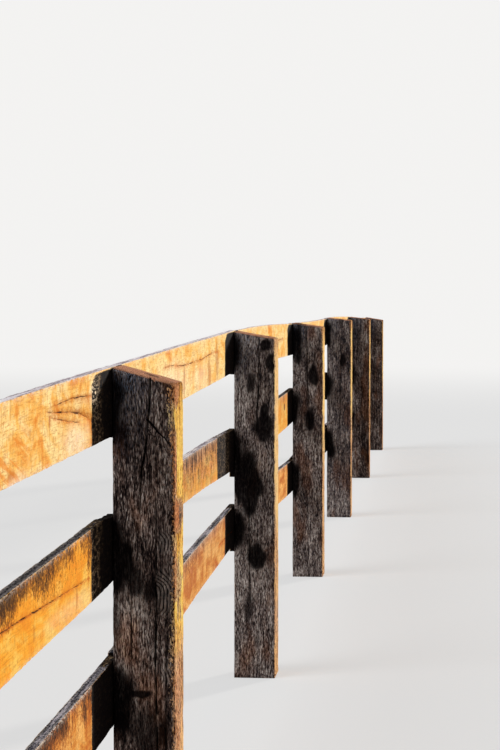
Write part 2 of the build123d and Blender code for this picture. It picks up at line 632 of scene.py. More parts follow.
@dataclass
class Post:
    """One square post with a sloping worn top.

    Attributes:
        number: Its number, from the -X end.
        slope: Fall of its top from the rail side to the open side, in degrees.
        cells: Cells across each side.
        rise: Height of a cell on its sides.
        cracks: Open drying checks.
        blotches: Black blotches on the near face, by height and place across.
        slash: A slanting check in the near face, by the height and place of both ends.
        curls: Patches of curly grain on the near face, by height and place across.
        pales: Washed patches of the near face, by height and place across.
        wear: Radius that weather has worn on the top's near edge.
        tone: How pale the post is, about 0.
        cool: How much blue-grey bloom its near face carries.
        fringe: How far the open side's painted sunlight reaches round the arris.
        blush: How pink the painted low sunlight on its open side is.
        scars: Patches where the painted sunlight of its open side is dimmer, by height and place along
            the fence.
    """

    number: int
    slope: float
    cells: int
    rise: float
    cracks: tuple[Crack, ...]
    blotches: tuple[Spot, ...] = ()
    slash: tuple[float, float, float, float] | None = None
    curls: tuple[Spot, ...] = ()
    pales: tuple[Spot, ...] = ()
    wear: float = 0.006
    tone: float = 0.0
    cool: float = 0.0
    fringe: float = 0.010
    blush: float = 0.3
    scars: tuple[Spot, ...] = ()

    @property
    def node(self) -> str:
        """Name of the post's node."""
        return f"post_{self.number}"

    @property
    def grain(self) -> GrainField:
        """Random field of this post."""
        return GrainField(100 + self.number)

    @property
    def pith(self) -> tuple[float, float]:
        """Place of the log's heart, from the post's centre."""
        return (0.012 * math.sin(2.1 * self.number), 0.016 * math.cos(1.7 * self.number))

    def rail_levels(self) -> list[tuple[float, float]]:
        """Upper and lower edge of each course of rails where it meets the post.

        Returns:
            A pair for each course.
        """
        levels = []
        for course in Course:
            rail = RailShape.read(course, max(self.number - 1, 1))
            end = -1 if self.number > 1 else 0
            levels.append((float(rail.upper[end]), float(rail.lower[end])))
        return levels

    def top_height(self, a: Array, b: Array, top: float) -> Array:
        """Height of the end grain.

        Args:
            a: Places along the fence, from the post's centre.
            b: Places across the fence.
            top: Height at the rail side.
        """
        spots = np.stack([a, b, np.zeros_like(a)], axis=-1)
        fall = math.tan(math.radians(self.slope)) * (HALF_POST - b)
        relief = END_GRAIN.cut(self.grain, spots)
        pith_a, pith_b = self.pith
        radius = np.hypot(a - pith_a, b - pith_b)
        turn = np.arctan2(b - pith_b, a - pith_a)
        reach = smoothstep(0.002, 0.014, radius) * (1 - smoothstep(0.055, 0.075, radius))
        for index, start in enumerate(TOP_CHECKS):
            bearing = start + 0.37 * self.number
            bend = 0.12 * self.grain.at(spots + index, (20, 20, 1))
            miss = radius * np.sin(np.angle(np.exp(1j * (turn - bearing))) + bend)
            ahead = np.cos(turn - bearing) > 0
            relief = relief + TOP_CHECK_DEPTH * ahead * reach * bell(miss, TOP_CHECK_WIDTH)
        return top - fall - relief

    def slit(self, z: Array, b: Array, near: Array) -> tuple[Array, Array]:
        """Where points lie beside the slanting check.

        Args:
            z: Heights.
            b: Places across the fence.
            near: Whether the points are on the near face.

        Returns:
            Distance from the check's line, negative on one side of it, and half the check's width
            there, which is 0 where the check doesn't run.
        """
        if self.slash is None:
            return np.full_like(z, 0.02), np.zeros_like(z)
        upper_z, upper_b, lower_z, lower_b = self.slash
        along = np.array([lower_z - upper_z, lower_b - upper_b])
        length = float(np.hypot(*along))
        along = along / length
        travel = (z - upper_z) * along[0] + (b - upper_b) * along[1]
        miss = (z - upper_z) * along[1] - (b - upper_b) * along[0]
        miss = miss + 0.0009 * np.sin(travel * 150) + 0.0003 * np.sin(travel * 390)
        half = SLIT * np.sqrt(np.clip(1 - travel / length, 0, 1)) * smoothstep(-0.010, 0.0, travel)
        return np.clip(miss, -0.02, 0.02), half * near

    def curl(self, z: Array, b: Array, near: Array) -> tuple[Array, Array]:
        """Curly grain on the near face.

        Args:
            z, b: Heights, and places across the fence.
            near: Whether the points are on the near face.

        Returns:
            Its strength, and the number of the ridge that each point is on.
        """
        strength = np.zeros_like(z)
        ridge = np.zeros_like(z)
        for curl in self.curls:
            here = smoothstep(1.25, 0.45, curl.distance(z, b)) * curl.strength * near
            radius = np.hypot(z - curl.along + 0.012, 1.2 * (b - curl.across - 0.034))
            ridge = np.where(here >= strength, radius / 0.0088 + 0.3 * np.sin(z * 120), ridge)
            strength = np.maximum(strength, here)
        return strength, ridge

    def relief(self, outline: Arrays, world: Array, below: Array) -> Array:
        """Depth of raised grain, hollows, chipped arrises, checks and the top's worn edges.

        Args:
            outline: The rings before any relief.
            world: The same points in the row frame.
            below: Distance of each ring below the top.

        Returns:
            Depth below the sawn surface at each point.
        """
        a, b = outline["place"][..., 0], outline["place"][..., 1]
        sink = POST_GRAIN.cut(self.grain, world)
        sink += POST_HOLLOWS.cut(self.grain, world)
        chips = np.clip(self.grain.layered(world, (70, 70, 40), 2), 0, 1)
        broken = (a < -0.035) & (b < -0.035)
        sink += np.exp(-outline["arris"] / 0.006) * chips * np.where(broken, BROKEN_CHIP, CHIP)
        furrows = np.clip(self.grain.layered(world, (150, 150, 70), 2), 0, 1)
        sink += np.exp(-outline["arris"] / 0.014) * broken * FURROW * furrows
        sink += outline["depth"]
        near_face = (outline["side"] == PostSide.NEAR).astype(float)
        miss, half_slit = self.slit(world[..., 2], world[..., 1], near_face)
        sink += 2.0 * half_slit * bell(miss, SLIT_HOLLOW)
        curly, ridge = self.curl(world[..., 2], world[..., 1], near_face)
        sink += CURL * curly * (0.5 + 0.5 * np.sin(2 * math.pi * ridge))

        ragged = 0.5 + 0.5 * self.grain.layered(world * np.array([1, 1, 0]), (30, 30, 1), 3)
        near_side, open_side = smoothstep(-0.045, -0.068, a), smoothstep(-0.045, -0.068, b)
        near_wear = self.wear * (0.45 + 0.9 * ragged)
        open_wear = OPEN_EDGE_WEAR * (0.5 + 0.9 * ragged)
        radius = np.full(a.shape, EDGE_WEAR)
        radius += near_side * (near_wear - EDGE_WEAR)
        radius += open_side * (1 - near_side) * (open_wear - EDGE_WEAR)
        turned = np.clip(1 - below[:, None] / radius, 0, 1)
        return sink + radius * (1 - np.sqrt(1 - turned**2))

    def build(self) -> bpy.types.Object:
        """Make the post's mesh with its relief and marks.

        Returns:
            The piece.
        """
        centre = post_centre(self.number)
        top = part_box(self.node)[1][2]
        lower = np.linspace(NEAR_TOP[-1], top, max(int(top / self.rise), 20))[1:]
        below = np.concatenate([NEAR_TOP, lower])[::-1]
        rows = len(below)
        heights = top - below
        half = np.full((rows, 2), HALF_POST)
        wobble = np.stack([np.zeros(rows), np.zeros(rows), heights], axis=1)
        rounding = np.empty((rows, 4))
        for corner in range(4):
            noise = self.grain.layered(wobble + 3.1 * corner, (1, 1, 9), 3)
            rounding[:, corner] = np.clip(0.0055 + 0.004 * noise, 0.002, 0.011)
        stick = Stick(heights, -half, half, (self.cells, self.cells), rounding, self.cracks)
        outline = stick.outline()
        place = outline["place"]
        tall = np.broadcast_to(heights[:, None, None], place.shape[:2] + (1,))
        world = np.concatenate([place, tall], axis=2) + np.array([centre, 0, 0])

        moved = place - outline["outward"] * self.relief(outline, world, below)[..., None]
        rings = np.empty(moved.shape[:2] + (3,))
        rings[..., 0] = moved[..., 0] + centre
        rings[..., 1] = moved[..., 1]
        crown = self.top_height(moved[..., 0], moved[..., 1], top)
        rings[..., 2] = crown * (heights / top)[:, None]

        def dress_end(grid: Array, far: bool) -> Array:
            """Give the foot a flat end and the top its end grain."""
            grid = grid.copy()
            grid[..., 2] = self.top_height(grid[..., 0] - centre, grid[..., 1], top) if far else 0.0
            return grid

        skin = stick.skin(rings, outline, dress_end)
        return add_piece(f"{self.node}_timber", skin.points, skin.faces, self.marks(skin, top))

    def soot(self, points: Array, coarse: Array, fine: Array) -> Array:
        """How black the damp and the blotches have made the points.

        Args:
            points: Points in the row frame.
            coarse: Slow random numbers at them.
            fine: Quick random numbers at them.

        Returns:
            Numbers from 0 to 1.
        """
        b, z = points[:, 1], points[:, 2]
        rag = 0.030 * coarse + 0.010 * fine
        soot = np.zeros(len(points))
        for (upper, lower), reach in zip(self.rail_levels(), DAMP_REACHES):
            level = smoothstep(lower - 0.045, lower + 0.02, z + 1.3 * rag)
            level = level * smoothstep(upper + 0.02, upper - 0.05, z + 1.3 * rag)
            toward = smoothstep(reach - 0.012, reach + 0.05, b + 1.1 * rag)
            soot = np.maximum(soot, level * toward)
        for blotch in self.blotches:
            ragged = 0.62 * self.grain.layered(points + blotch.along, (30, 30, 17), 3) + 0.30 * fine
            soot = np.maximum(soot, patches((blotch,), z, b, (1.25, 0.45), ragged))
        clouds = smoothstep(0.30, 0.62, self.grain.layered(points + 5.0, (14, 14, 4.5), 3))
        return np.maximum(soot, 0.55 * clouds)

    def marks(self, skin: Skin, top: float) -> Arrays:
        """Numbers for each point that the post's finish reads.

        Args:
            skin: The post's surface.
            top: Height at the rail side.

        Returns:
            Arrays by name.
        """
        points = skin.points
        a = points[:, 0] - post_centre(self.number)
        b, z = points[:, 1], points[:, 2]
        pith_a, pith_b = self.pith
        coarse = self.grain.layered(points, (11, 11, 6), 3)
        fine = self.grain.layered(points + 2.0, (48, 48, 18), 3)
        cap = (skin.side == PostSide.TOP).astype(float)
        cap = np.maximum(cap, smoothstep(0.0035, 0.0012, self.top_height(a, b, top) - z))

        # The open side is painted with low sunlight, which breaks up round its arris and is dimmed
        # lower down and in patches
        sunny = (skin.side == PostSide.OPEN) * smoothstep(-0.061, -0.066, b)
        chips = smoothstep(0.0, 0.5, self.grain.layered(points + 8.0, (26, 26, 34), 3))
        sunny = sunny * (1 - 0.75 * smoothstep(-0.030, -0.068, a) * chips)
        lower_shade = smoothstep(0.10, 0.45, self.grain.layered(points + 11.0, (30, 30, 13), 3))
        # Lower down the painted sunlight breaks up into patches of painted shade.
        sunny = sunny * (1 - 0.42 * lower_shade * smoothstep(0.86, 0.50, z))
        dimmed = patches(self.scars, z, a, (1.25, 0.55), 0.55 * coarse + 0.25 * fine) * (b < 0)
        sunny = sunny * (1 - 0.60 * dimmed)
        reach = self.fringe * (1 + 0.86 * coarse + 0.76 * smoothstep(top - 0.24, top - 0.06, z))
        ragged = np.clip(1 - (b + HALF_POST) / np.maximum(reach, 0.004), 0, 1) * (a < 0)
        sunny = np.maximum(sunny, 0.80 * ragged)

        near_face = (skin.side == PostSide.NEAR).astype(float)
        miss, half_slit = self.slit(z, b, near_face)
        curly, ridge = self.curl(z, b, near_face)
        bloom = smoothstep(top - 0.26, top - 0.02, z) * smoothstep(-0.05, 0.05, b)
        waver = 0.003 * self.grain.layered(points, (18, 18, 1.5), 2)
        # Painted shade dims the painted sunlight towards the foot; it is also darker near the top and
        # in the dim patches.
        foot_shade = 0.9 * smoothstep(0.60, 0.44, z)
        top_dimming = smoothstep(top - 0.11, top - 0.035, z)
        return {
            "ring": np.hypot(a - pith_a, b - pith_b) + waver,
            "soot": np.clip(self.soot(points, coarse, fine) * (1 - 0.8 * sunny), 0, 1),
            "sunny": sunny,
            "cap": cap,
            "crack": skin.crack,
            "curl": curly,
            "ridge": ridge,
            "aged": np.maximum.reduce([foot_shade, top_dimming, 1.25 * dimmed]),
            "slit": miss,
            "slit_half": half_slit,
            "blue": np.maximum(bloom, self.cool * near_face),
            "tone": self.tone + 0.07 * patches(self.pales, z, b, (1.3, 0.3), 0.5 * coarse),
            "blush": np.maximum(self.blush, 0.55 * smoothstep(0.60, 0.46, z)),
        }


@dataclass(frozen=True)
class RailShape:
    """The bounds of a rail along its length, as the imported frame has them."""

    places: Array
    inner: Array
    outer: Array
    lower: Array
    upper: Array

    @staticmethod
    def read(course: Course, bay: int) -> "RailShape":
        """Read a rail's sections from its node.

        Args:
            course: The rail's course.
            bay: The rail's bay, from 1.

        Returns:
            Its bounds at the stations where the sections are set.
        """
        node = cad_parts[f"{course.value}_rail_{bay}"]
        flat = np.empty(len(node.data.vertices) * 3)
        node.data.vertices.foreach_get("co", flat)
        points = flat.reshape(-1, 3)
        start, end = points[:, 0].min(), points[:, 0].max()
        seat = post_centre(bay) + HALF_POST
        places = [start, *np.linspace(seat, seat + BAY_LENGTH - 2 * HALF_POST, 8), end]
        rows = []
        for place in places:
            near = points[np.abs(points[:, 0] - place) < 0.0025]
            rows.append((near[:, 1].min(), near[:, 1].max(), near[:, 2].min(), near[:, 2].max()))
        return RailShape(np.array(places), *np.array(rows).T)

    def bounds(self, stations: Array) -> tuple[Array, Array]:
        """Bounds of the section at some stations.

        Args:
            stations: Places along the fence.

        Returns:
            Inner and lower bound in one array, outer and upper bound in the other, with a row for
            each station.
        """
        edges = (self.inner, self.lower, self.outer, self.upper)
        table = np.stack([np.interp(stations, self.places, edge) for edge in edges], axis=1)
        return table[:, :2], table[:, 2:]


# What the weather and the saw have cut into the rails' sides and sawn ends
RAIL_GRAIN = Relief(0.0007, (3.2, 85, 85))
RAIL_HOLLOWS = Relief(0.0009, (1.7, 13, 13))
SAW_MARKS = Relief(0.0003, (45, 3, 3), 1)
SAWN_END = Relief(0.0008, (1, 160, 60))

# Depths of nibbles out of a rail's arrises and of the groove round a knot
NIBBLE = 0.0032
KNOT_GROOVE = 0.0008

# How far a rail's end rings lie inside its node's ends, and the rounding of the end's edges
END_INSET = 0.0003
END_ROUNDING = 0.0025

# Distances from a rail's end at which rings lie close together, and where the even ones begin
NEAR_END = (0.0, 0.0008, 0.002, 0.004)
EVEN_RINGS = 0.006

# Greatest rounding that the wane gives a rail's arris, and the length over which the wane runs out
WIDEST_WANE = 0.019
WANE_LENGTH = 1.3

# Middle of the rails' thickness, across the fence
RAIL_MIDDLE = 0.082

# Nails through each rail's end: distance from the post's centre, and share of the rail's height
# below its upper edge
NAIL_SPOTS = ((0.034, 0.22), (0.030, 0.76))


@dataclass
class Rail:
    """One flat sawn rail.

    Attributes:
        course: Its course.
        bay: Its bay, from 1.
        cells: Cells across its height and its thickness.
        step: Length of a cell along it.
        cracks: Splits and checks.
        knots: Knots, by place along the fence and height.
        wane: Depth of the wane on its outer upper arris at the near end.
        heart: Offset of the log's heart from the board's middle, across and up.
        tone: How pale the board is, about 0.
        mottle: How much brown mould its upper part carries.
        moulds: Patches of mould on its inner face.
        weeps: Rusty marks that run down its inner face.
        pales: Bleached patches.
        slants: Patches where the grain runs down across the board.
        start_wear: Depth worn off its upper edge at the near post.
        end_wear: Depth worn off its upper edge at the far post.
        damp: How black the band beside the far post is: damp stain, with the post's shadow painted over
            it.
        damp_reach: Distance from the far post at which that band of damp stain and painted shadow
            begins.
        dull: How far its gold is dulled to a bluish grey-brown, more towards its upper edge.
        frosted: How pale its upper edge is, about 0.
    """

    course: Course
    bay: int
    cells: tuple[int, int]
    step: float
    cracks: tuple[Crack, ...] = ()
    knots: tuple[Spot, ...] = ()
    wane: float = 0.0
    heart: tuple[float, float] = (0.05, 0.02)
    tone: float = 0.0
    mottle: float = 0.0
    moulds: tuple[Spot, ...] = ()
    weeps: tuple[Spot, ...] = ()
    pales: tuple[Spot, ...] = ()
    slants: tuple[Spot, ...] = ()
    start_wear: float = 0.0
    end_wear: float = 0.0
    damp: float = 0.85
    damp_reach: float = 0.243
    dull: float = 0.0
    frosted: float = 0.0

    @property
    def node(self) -> str:
        """Name of the rail's node."""
        return f"{self.course.value}_rail_{self.bay}"

    @property
    def grain(self) -> GrainField:
        """Random field of this rail."""
        return GrainField(300 + 10 * self.bay + len(self.course.value))

    def rounding(self, stations: Array) -> Array:
        """Radius of the rail's four arrises, the outer upper one with the wane.

        Args:
            stations: Places of the rings along the fence.

        Returns:
            A row of four for each station.
        """
        line = on_line(stations)
        rounding = np.empty((len(stations), 4))
        for corner in range(4):
            noise = self.grain.layered(line + 2.3 * corner, (7, 1, 1), 3)
            rounding[:, corner] = np.clip(0.0024 + 0.0016 * noise, 0.001, 0.004)
        if self.wane:
            depth = self.wane * (1 - (stations - stations[0]) / WANE_LENGTH)
            depth = depth * (1 + 0.18 * self.grain.layered(line, (6, 1, 1), 2))
            rounding[:, 2] = np.clip(depth, rounding[:, 2], WIDEST_WANE)
        return rounding

    def relief(self, outline: Arrays, world: Array) -> Array:
        """Depth of raised grain, hollows, nibbled arrises, cracks and rounded ends.

        Args:
            outline: The rings before any relief.
            world: The same points in the row frame.

        Returns:
            Depth below the sawn surface at each point.
        """
        sink = RAIL_GRAIN.cut(self.grain, world)
        sink += RAIL_HOLLOWS.cut(self.grain, world)
        sink += SAW_MARKS.cut(self.grain, world)
        nibbles = np.clip(self.grain.layered(world, (28, 45, 45), 2), 0, 1)
        sink += np.exp(-outline["arris"] / 0.0035) * nibbles * NIBBLE
        near, _ = self.knot_field(world)
        sink += KNOT_GROOVE * smoothstep(0.25, 0.5, near) * (1 - smoothstep(0.5, 0.62, near))
        sink += outline["depth"]
        stations = world[:, 0, 0]
        ends = np.minimum(stations - stations[0], stations[-1] - stations)
        turned = np.clip(1 - ends / END_ROUNDING, 0, 1)[:, None]
        return sink + END_ROUNDING * (1 - np.sqrt(1 - turned**2))

    def build(self) -> bpy.types.Object:
        """Make the rail's mesh with its relief and marks.

        Returns:
            The piece.
        """
        shape = RailShape.read(self.course, self.bay)
        start, end = shape.places[0] + END_INSET, shape.places[-1] - END_INSET
        close = np.array(NEAR_END)
        even = np.linspace(start + EVEN_RINGS, end - EVEN_RINGS, int((end - start) / self.step))
        stations = np.concatenate([start + close, even, end - close[::-1]])
        low, high = shape.bounds(stations)
        cells = (self.cells[1], self.cells[0])
        stick = Stick(stations, low, high, cells, self.rounding(stations), self.cracks)
        outline = stick.outline()
        place = outline["place"]
        along = np.broadcast_to(stations[:, None, None], place.shape[:2] + (1,))
        world = np.concatenate([along, place], axis=2)
        moved = place - outline["outward"] * self.relief(outline, world)[..., None]
        if self.start_wear or self.end_wear:
            before = (post_centre(self.bay + 1) - HALF_POST - stations)[:, None]
            after = (stations - post_centre(self.bay))[:, None]
            worn = self.end_wear * smoothstep(0.12, 0.0, before)
            worn = worn + self.start_wear * smoothstep(0.22, 0.08, after)
            worn = worn * (0.85 + 0.3 * self.grain.layered(world, (30, 1, 1), 2))
            share = (place[..., 1] - low[:, None, 1]) / (high - low)[:, None, 1]
            moved[..., 1] -= worn * smoothstep(0.55, 1.0, share)
        rings = np.concatenate([along, moved], axis=2)

        def dress_end(grid: Array, far: bool) -> Array:
            """Roughen a sawn end."""
            grid = grid.copy()
            cut = SAWN_END.cut(self.grain, grid)
            grid[..., 0] += -cut if far else cut
            return grid

        skin = stick.skin(rings, outline, dress_end)
        return add_piece(f"{self.node}_board", skin.points, skin.faces, self.marks(skin, shape))

    def knot_field(self, points: Array) -> tuple[Array, Array]:
        """How near the points are to a knot, and how far its rings push the grain aside.

        Args:
            points: Points in the row frame.

        Returns:
            A field of 1 in a knot's middle, 0.5 at its rim and 0 away from it, and the shift of
            the ring distance in metres.
        """
        near = np.zeros(points.shape[:-1])
        shift = np.zeros(points.shape[:-1])
        for knot in self.knots:
            distance = knot.distance(points[..., 0], points[..., 2])
            near = np.maximum(near, np.clip(1 - distance / 2, 0, 1) * knot.strength)
            stretched = np.hypot(
                (points[..., 0] - knot.along) / (3.2 * knot.reach_along),
                (points[..., 2] - knot.across) / (1.7 * knot.reach_across),
            )
            shift += 1.3 * knot.reach_across * np.exp(-(stretched**2))
        return near, shift

    def soot(self, skin: Skin, upper: Array, rag: Array) -> Array:
        """How black the rail is at the posts: damp stain, with painted shade where the posts cast
        shadow and where the rail meets them.

        Args:
            skin: The rail's surface.
            upper: Height of the rail's upper edge over each of its points.
            rag: Random numbers at the points.

        Returns:
            Numbers from 0 to 1.
        """
        x, _, z = skin.points.T
        # Beside the far post the rail is darkened as far as the post's cast shadow reaches: painted
        # shadow over damp stain.
        before = post_centre(self.bay + 1) - HALF_POST - x
        reach = self.damp_reach + 0.014 * rag
        # On the top course the band's upper edge dips away from the post, as the shadow of its sloping
        # top does.
        shadow_arch = 0.004 + 0.022 * smoothstep(0.17, 0.25, before) ** 1.5
        height = upper - shadow_arch * (self.course is Course.TOP)
        soot = smoothstep(reach + 0.008, reach - 0.008, before)
        soot = soot * smoothstep(height + 0.003, height - 0.004, z)
        deepest = smoothstep(0.160, 0.070, before + 0.05 * rag)
        soot = soot * (self.damp + (1 - self.damp) * deepest)
        soot = soot * (1 - 0.65 * (skin.side == RailSide.OUTER))
        # Sawn ends and the part of the rail against the near post are blackened: painted shade where
        # the rails meet the posts.
        soot = np.maximum(soot, 0.9 * (skin.side >= RailSide.NEAR_END))
        shade_behind_post = smoothstep(0.085, 0.066, x - post_centre(self.bay)) * (skin.side != RailSide.OUTER)
        soot = np.maximum(soot, 0.95 * shade_behind_post)
        kept: Numbers = 1.0
        if self.course is Course.TOP:
            kept = 0.15
        elif self.course is Course.BOTTOM:
            kept = 0.15 + 0.85 * smoothstep(0.10, 0.02, before) * (before > -HALF_POST)
        soot = np.where(skin.side == RailSide.UPPER, soot * kept, soot)
        return np.clip(soot, 0, 1)

    def rust(self, skin: Skin, low: Array, high: Array, rag: Array) -> Array:
        """How rusty the weeps and the streaks below the nails have made the points.

        Args:
            skin: The rail's surface.
            low: Inner and lower bound of the rail at each point.
            high: Outer and upper bound of the rail at each point.
            rag: Random numbers at the points.

        Returns:
            Numbers from 0 to 1.
        """
        x, _, z = skin.points.T
        rust = patches(self.weeps, x, z, (1.15, 0.5), 0.35 * rag) * (skin.side == RailSide.INNER)
        for seat_x, height_share in NAIL_SPOTS:
            for side in (-1, 1):
                nail_x = post_centre(self.bay + (side < 0)) + side * seat_x
                below = high[:, 1] - height_share * (high[:, 1] - low[:, 1]) - z
                streak = bell(x - nail_x, 0.006) * smoothstep(-0.006, 0.002, below)
                streak = streak * smoothstep(0.07, 0.01, below) * (skin.side == RailSide.OUTER)
                rust = np.maximum(rust, streak)
        return rust

    def halo(self, skin: Skin) -> Array:
        """How near the points are to a crack's line, for the stain that surrounds it.

        Args:
            skin: The rail's surface.

        Returns:
            Numbers from 0 to 1.
        """
        x, _, z = skin.points.T
        near = np.zeros(len(x))
        width = 0.006 + 0.004 * self.grain.layered(skin.points, (18, 18, 18), 2)
        for crack in self.cracks:
            start, end = crack.ends
            within = smoothstep(start - 0.02, start + 0.05, x) * smoothstep(end + 0.02, end - 0.02, x)
            halo = within * bell(z - crack.line(x), width) * (skin.side == crack.side)
            near = np.maximum(near, halo)
        return near

    def marks(self, skin: Skin, shape: RailShape) -> Arrays:
        """Numbers for each point that the rail's finish reads.

        Args:
            skin: The rail's surface.
            shape: The rail's bounds.

        Returns:
            Arrays by name.
        """
        points = skin.points
        x, y, z = points.T
        near, shift = self.knot_field(points)
        low, high = shape.bounds(x)
        lower, upper = low[:, 1], high[:, 1]
        line = on_line(x)
        wander = 0.020 * self.grain.layered(line, (0.9, 1, 1), 2)
        drift = 0.018 * self.grain.layered(line + 9.0, (0.5, 1, 1), 2)
        across = y - (RAIL_MIDDLE + self.heart[0]) + 1.6 * wander
        up = z - ((upper + lower) / 2 + self.heart[1]) + drift
        share = (upper - z) / (upper - lower)
        rag = self.grain.layered(points, (22, 22, 22), 3)
        uneven = 0.66 + 0.50 * self.grain.layered(line + 4.0, (2.6, 1, 1), 3)
        thick = np.clip(1.05 + 0.9 * self.grain.layered(line + 6.0, (3.4, 1, 1), 2), 0.45, 1.25)
        hanging = smoothstep(uneven, -0.10, share + 0.12 * rag) * (skin.side != RailSide.UPPER)
        moulds = patches(self.moulds, x, z, (1.35, 0.25), 0.45 * rag) * (skin.side == RailSide.INNER)
        return {
            "ring": np.hypot(across, up) + shift,
            "knot": near,
            "soot": self.soot(skin, upper, rag),
            "crack": skin.crack,
            "arris": np.exp(-skin.arris / 0.004),
            "upper": (skin.side == RailSide.UPPER) * smoothstep(0.0005, 0.0035, skin.arris),
            "outer": (skin.side == RailSide.OUTER).astype(float),
            "tone": np.full(len(points), self.tone),
            "mottle": np.maximum(self.mottle * thick * hanging, moulds),
            "rust": self.rust(skin, low, high, rag),
            "faded": patches(self.pales, x, z, (1.3, 0.2), 0.3 * rag),
            "slanted": patches(self.slants, x, z, (1.2, 0.4)),
            "halo": self.halo(skin),
            "dull": self.dull * np.clip(1.20 - 0.85 * share + 0.35 * rag, 0.0, 1.2),
            "frosted": np.full(len(points), self.frosted),
        }


# Section of a nail's shank and head: radius as a share of the head's, and how far out from the
# rail's face, in metres inside the rail and as a share of the head's height outside it
NAIL_PROFILE = (
    (0.34, -0.006), (0.36, -0.0002), (0.93, 0.0), (1.0, 0.30), (0.96, 0.62), (0.80, 0.86), (0.5, 0.97),
)
NAIL_CORNERS = 18

# How deep the heads sit in the rails' rough faces
NAIL_SEAT = 0.0011


@dataclass
class Nails:
    """The heads of the nails that hold the rails on one post.

    Attributes:
        number: The post's number.
        radius: Radius of a head.
        proud: How far a head stands out from the rail.
    """

    number: int
    radius: float = 0.0046
    proud: float = 0.0013

    def head(self, centre: Array, turn: float) -> tuple[Array, list[tuple[int, ...]]]:
        """One hammered head: a dome on a short shank.

        Args:
            centre: Point on the rail's outer face.
            turn: Angle of the head's flats.

        Returns:
            Points and faces.
        """
        around = NAIL_CORNERS
        points = []
        for radius, out in NAIL_PROFILE:
            depth = out if out < 0 else out * self.proud
            for step in range(around):
                angle = turn + 2 * math.pi * step / around
                dent = 1 + 0.035 * math.sin(3 * angle + turn) if radius > 0.9 else 1.0
                spread = radius * self.radius * dent
                points.append((spread * math.cos(angle), depth, spread * math.sin(angle)))
        points.append((0.0, self.proud, 0.0))
        faces: list[tuple[int, ...]] = []
        last = (len(NAIL_PROFILE) - 1) * around
        for base in range(0, last, around):
            for step in range(around):
                following = (step + 1) % around
                outer = base + around
                faces.append((base + step, outer + step, outer + following, base + following))
        for step in range(around):
            faces.append((last + step, len(points) - 1, last + (step + 1) % around))
        faces.append(tuple(range(around)))
        return np.array(points) + centre, faces

    def build(self) -> bpy.types.Object:
        """Make all the heads on this post.

        Returns:
            The piece.
        """
        points: list[Array] = []
        faces: list[tuple[int, ...]] = []
        count = 0
        for course in Course:
            for side in (-1, 1):
                bay = self.number - 1 if side < 0 else self.number
                if not 1 <= bay < POST_COUNT:
                    continue
                shape = RailShape.read(course, bay)
                for seat_x, share in NAIL_SPOTS:
                    x = post_centre(self.number) + side * seat_x
                    low, high = shape.bounds(np.array([x]))
                    outer, upper = high[0]
                    seat = np.array([x, outer - NAIL_SEAT, upper - share * (upper - low[0, 1])])
                    head_points, head_faces = self.head(seat, 1.3 * count + self.number)
                    start = sum(len(block) for block in points)
                    points.append(head_points)
                    faces += [tuple(start + corner for corner in face) for face in head_faces]
                    count += 1
        return add_piece(f"post_{self.number}_nail_heads", np.concatenate(points), [faces], {})


class Wire:
    """One output of a node: a number, colour or vector. Arithmetic on it adds Math nodes."""

    def __init__(self, shader: "Shader", socket: bpy.types.NodeSocket) -> None:
        """Wrap a socket of a shader's tree."""
        self.shader = shader
        self.socket = socket

    def calculate(self, operation: str, first: Operand, second: Operand = 0.0) -> "Wire":
        """Add one Math node."""
        return self.shader.node("ShaderNodeMath", {"operation": operation}, {0: first, 1: second})

    def __add__(self, other: Operand) -> "Wire":
        """self + other"""
        return self.calculate("ADD", self, other)

    __radd__ = __add__

    def __sub__(self, other: Operand) -> "Wire":
        """self - other"""
        return self.calculate("SUBTRACT", self, other)

    def __rsub__(self, other: Operand) -> "Wire":
        """other - self"""
        return self.calculate("SUBTRACT", other, self)

    def __mul__(self, other: Operand) -> "Wire":
        """self * other"""
        return self.calculate("MULTIPLY", self, other)

    __rmul__ = __mul__

    def fraction(self) -> "Wire":
        """The part after the decimal point."""
        return self.calculate("FRACT", self)

    def magnitude(self) -> "Wire":
        """The number without its sign."""
        return self.calculate("ABSOLUTE", self)

    def either(self, other: Operand) -> "Wire":
        """The larger of two numbers."""
        return self.calculate("MAXIMUM", self, other)

    def rise(self, low: float, high: float) -> "Wire":
        """Smooth rise from 0 at low to 1 at high, or a fall if low is the larger.

        Args:
            low, high: Where it starts and ends.

        Returns:
            The number from 0 to 1.
        """
        settings = {"interpolation_type": "SMOOTHSTEP", "clamp": True}
        if low < high:
            values = {"Value": self, "From Min": low, "From Max": high, "To Min": 0.0, "To Max": 1.0}
        else:
            values = {"Value": self, "From Min": high, "From Max": low, "To Min": 1.0, "To Max": 0.0}
        return self.shader.node("ShaderNodeMapRange", settings, values)


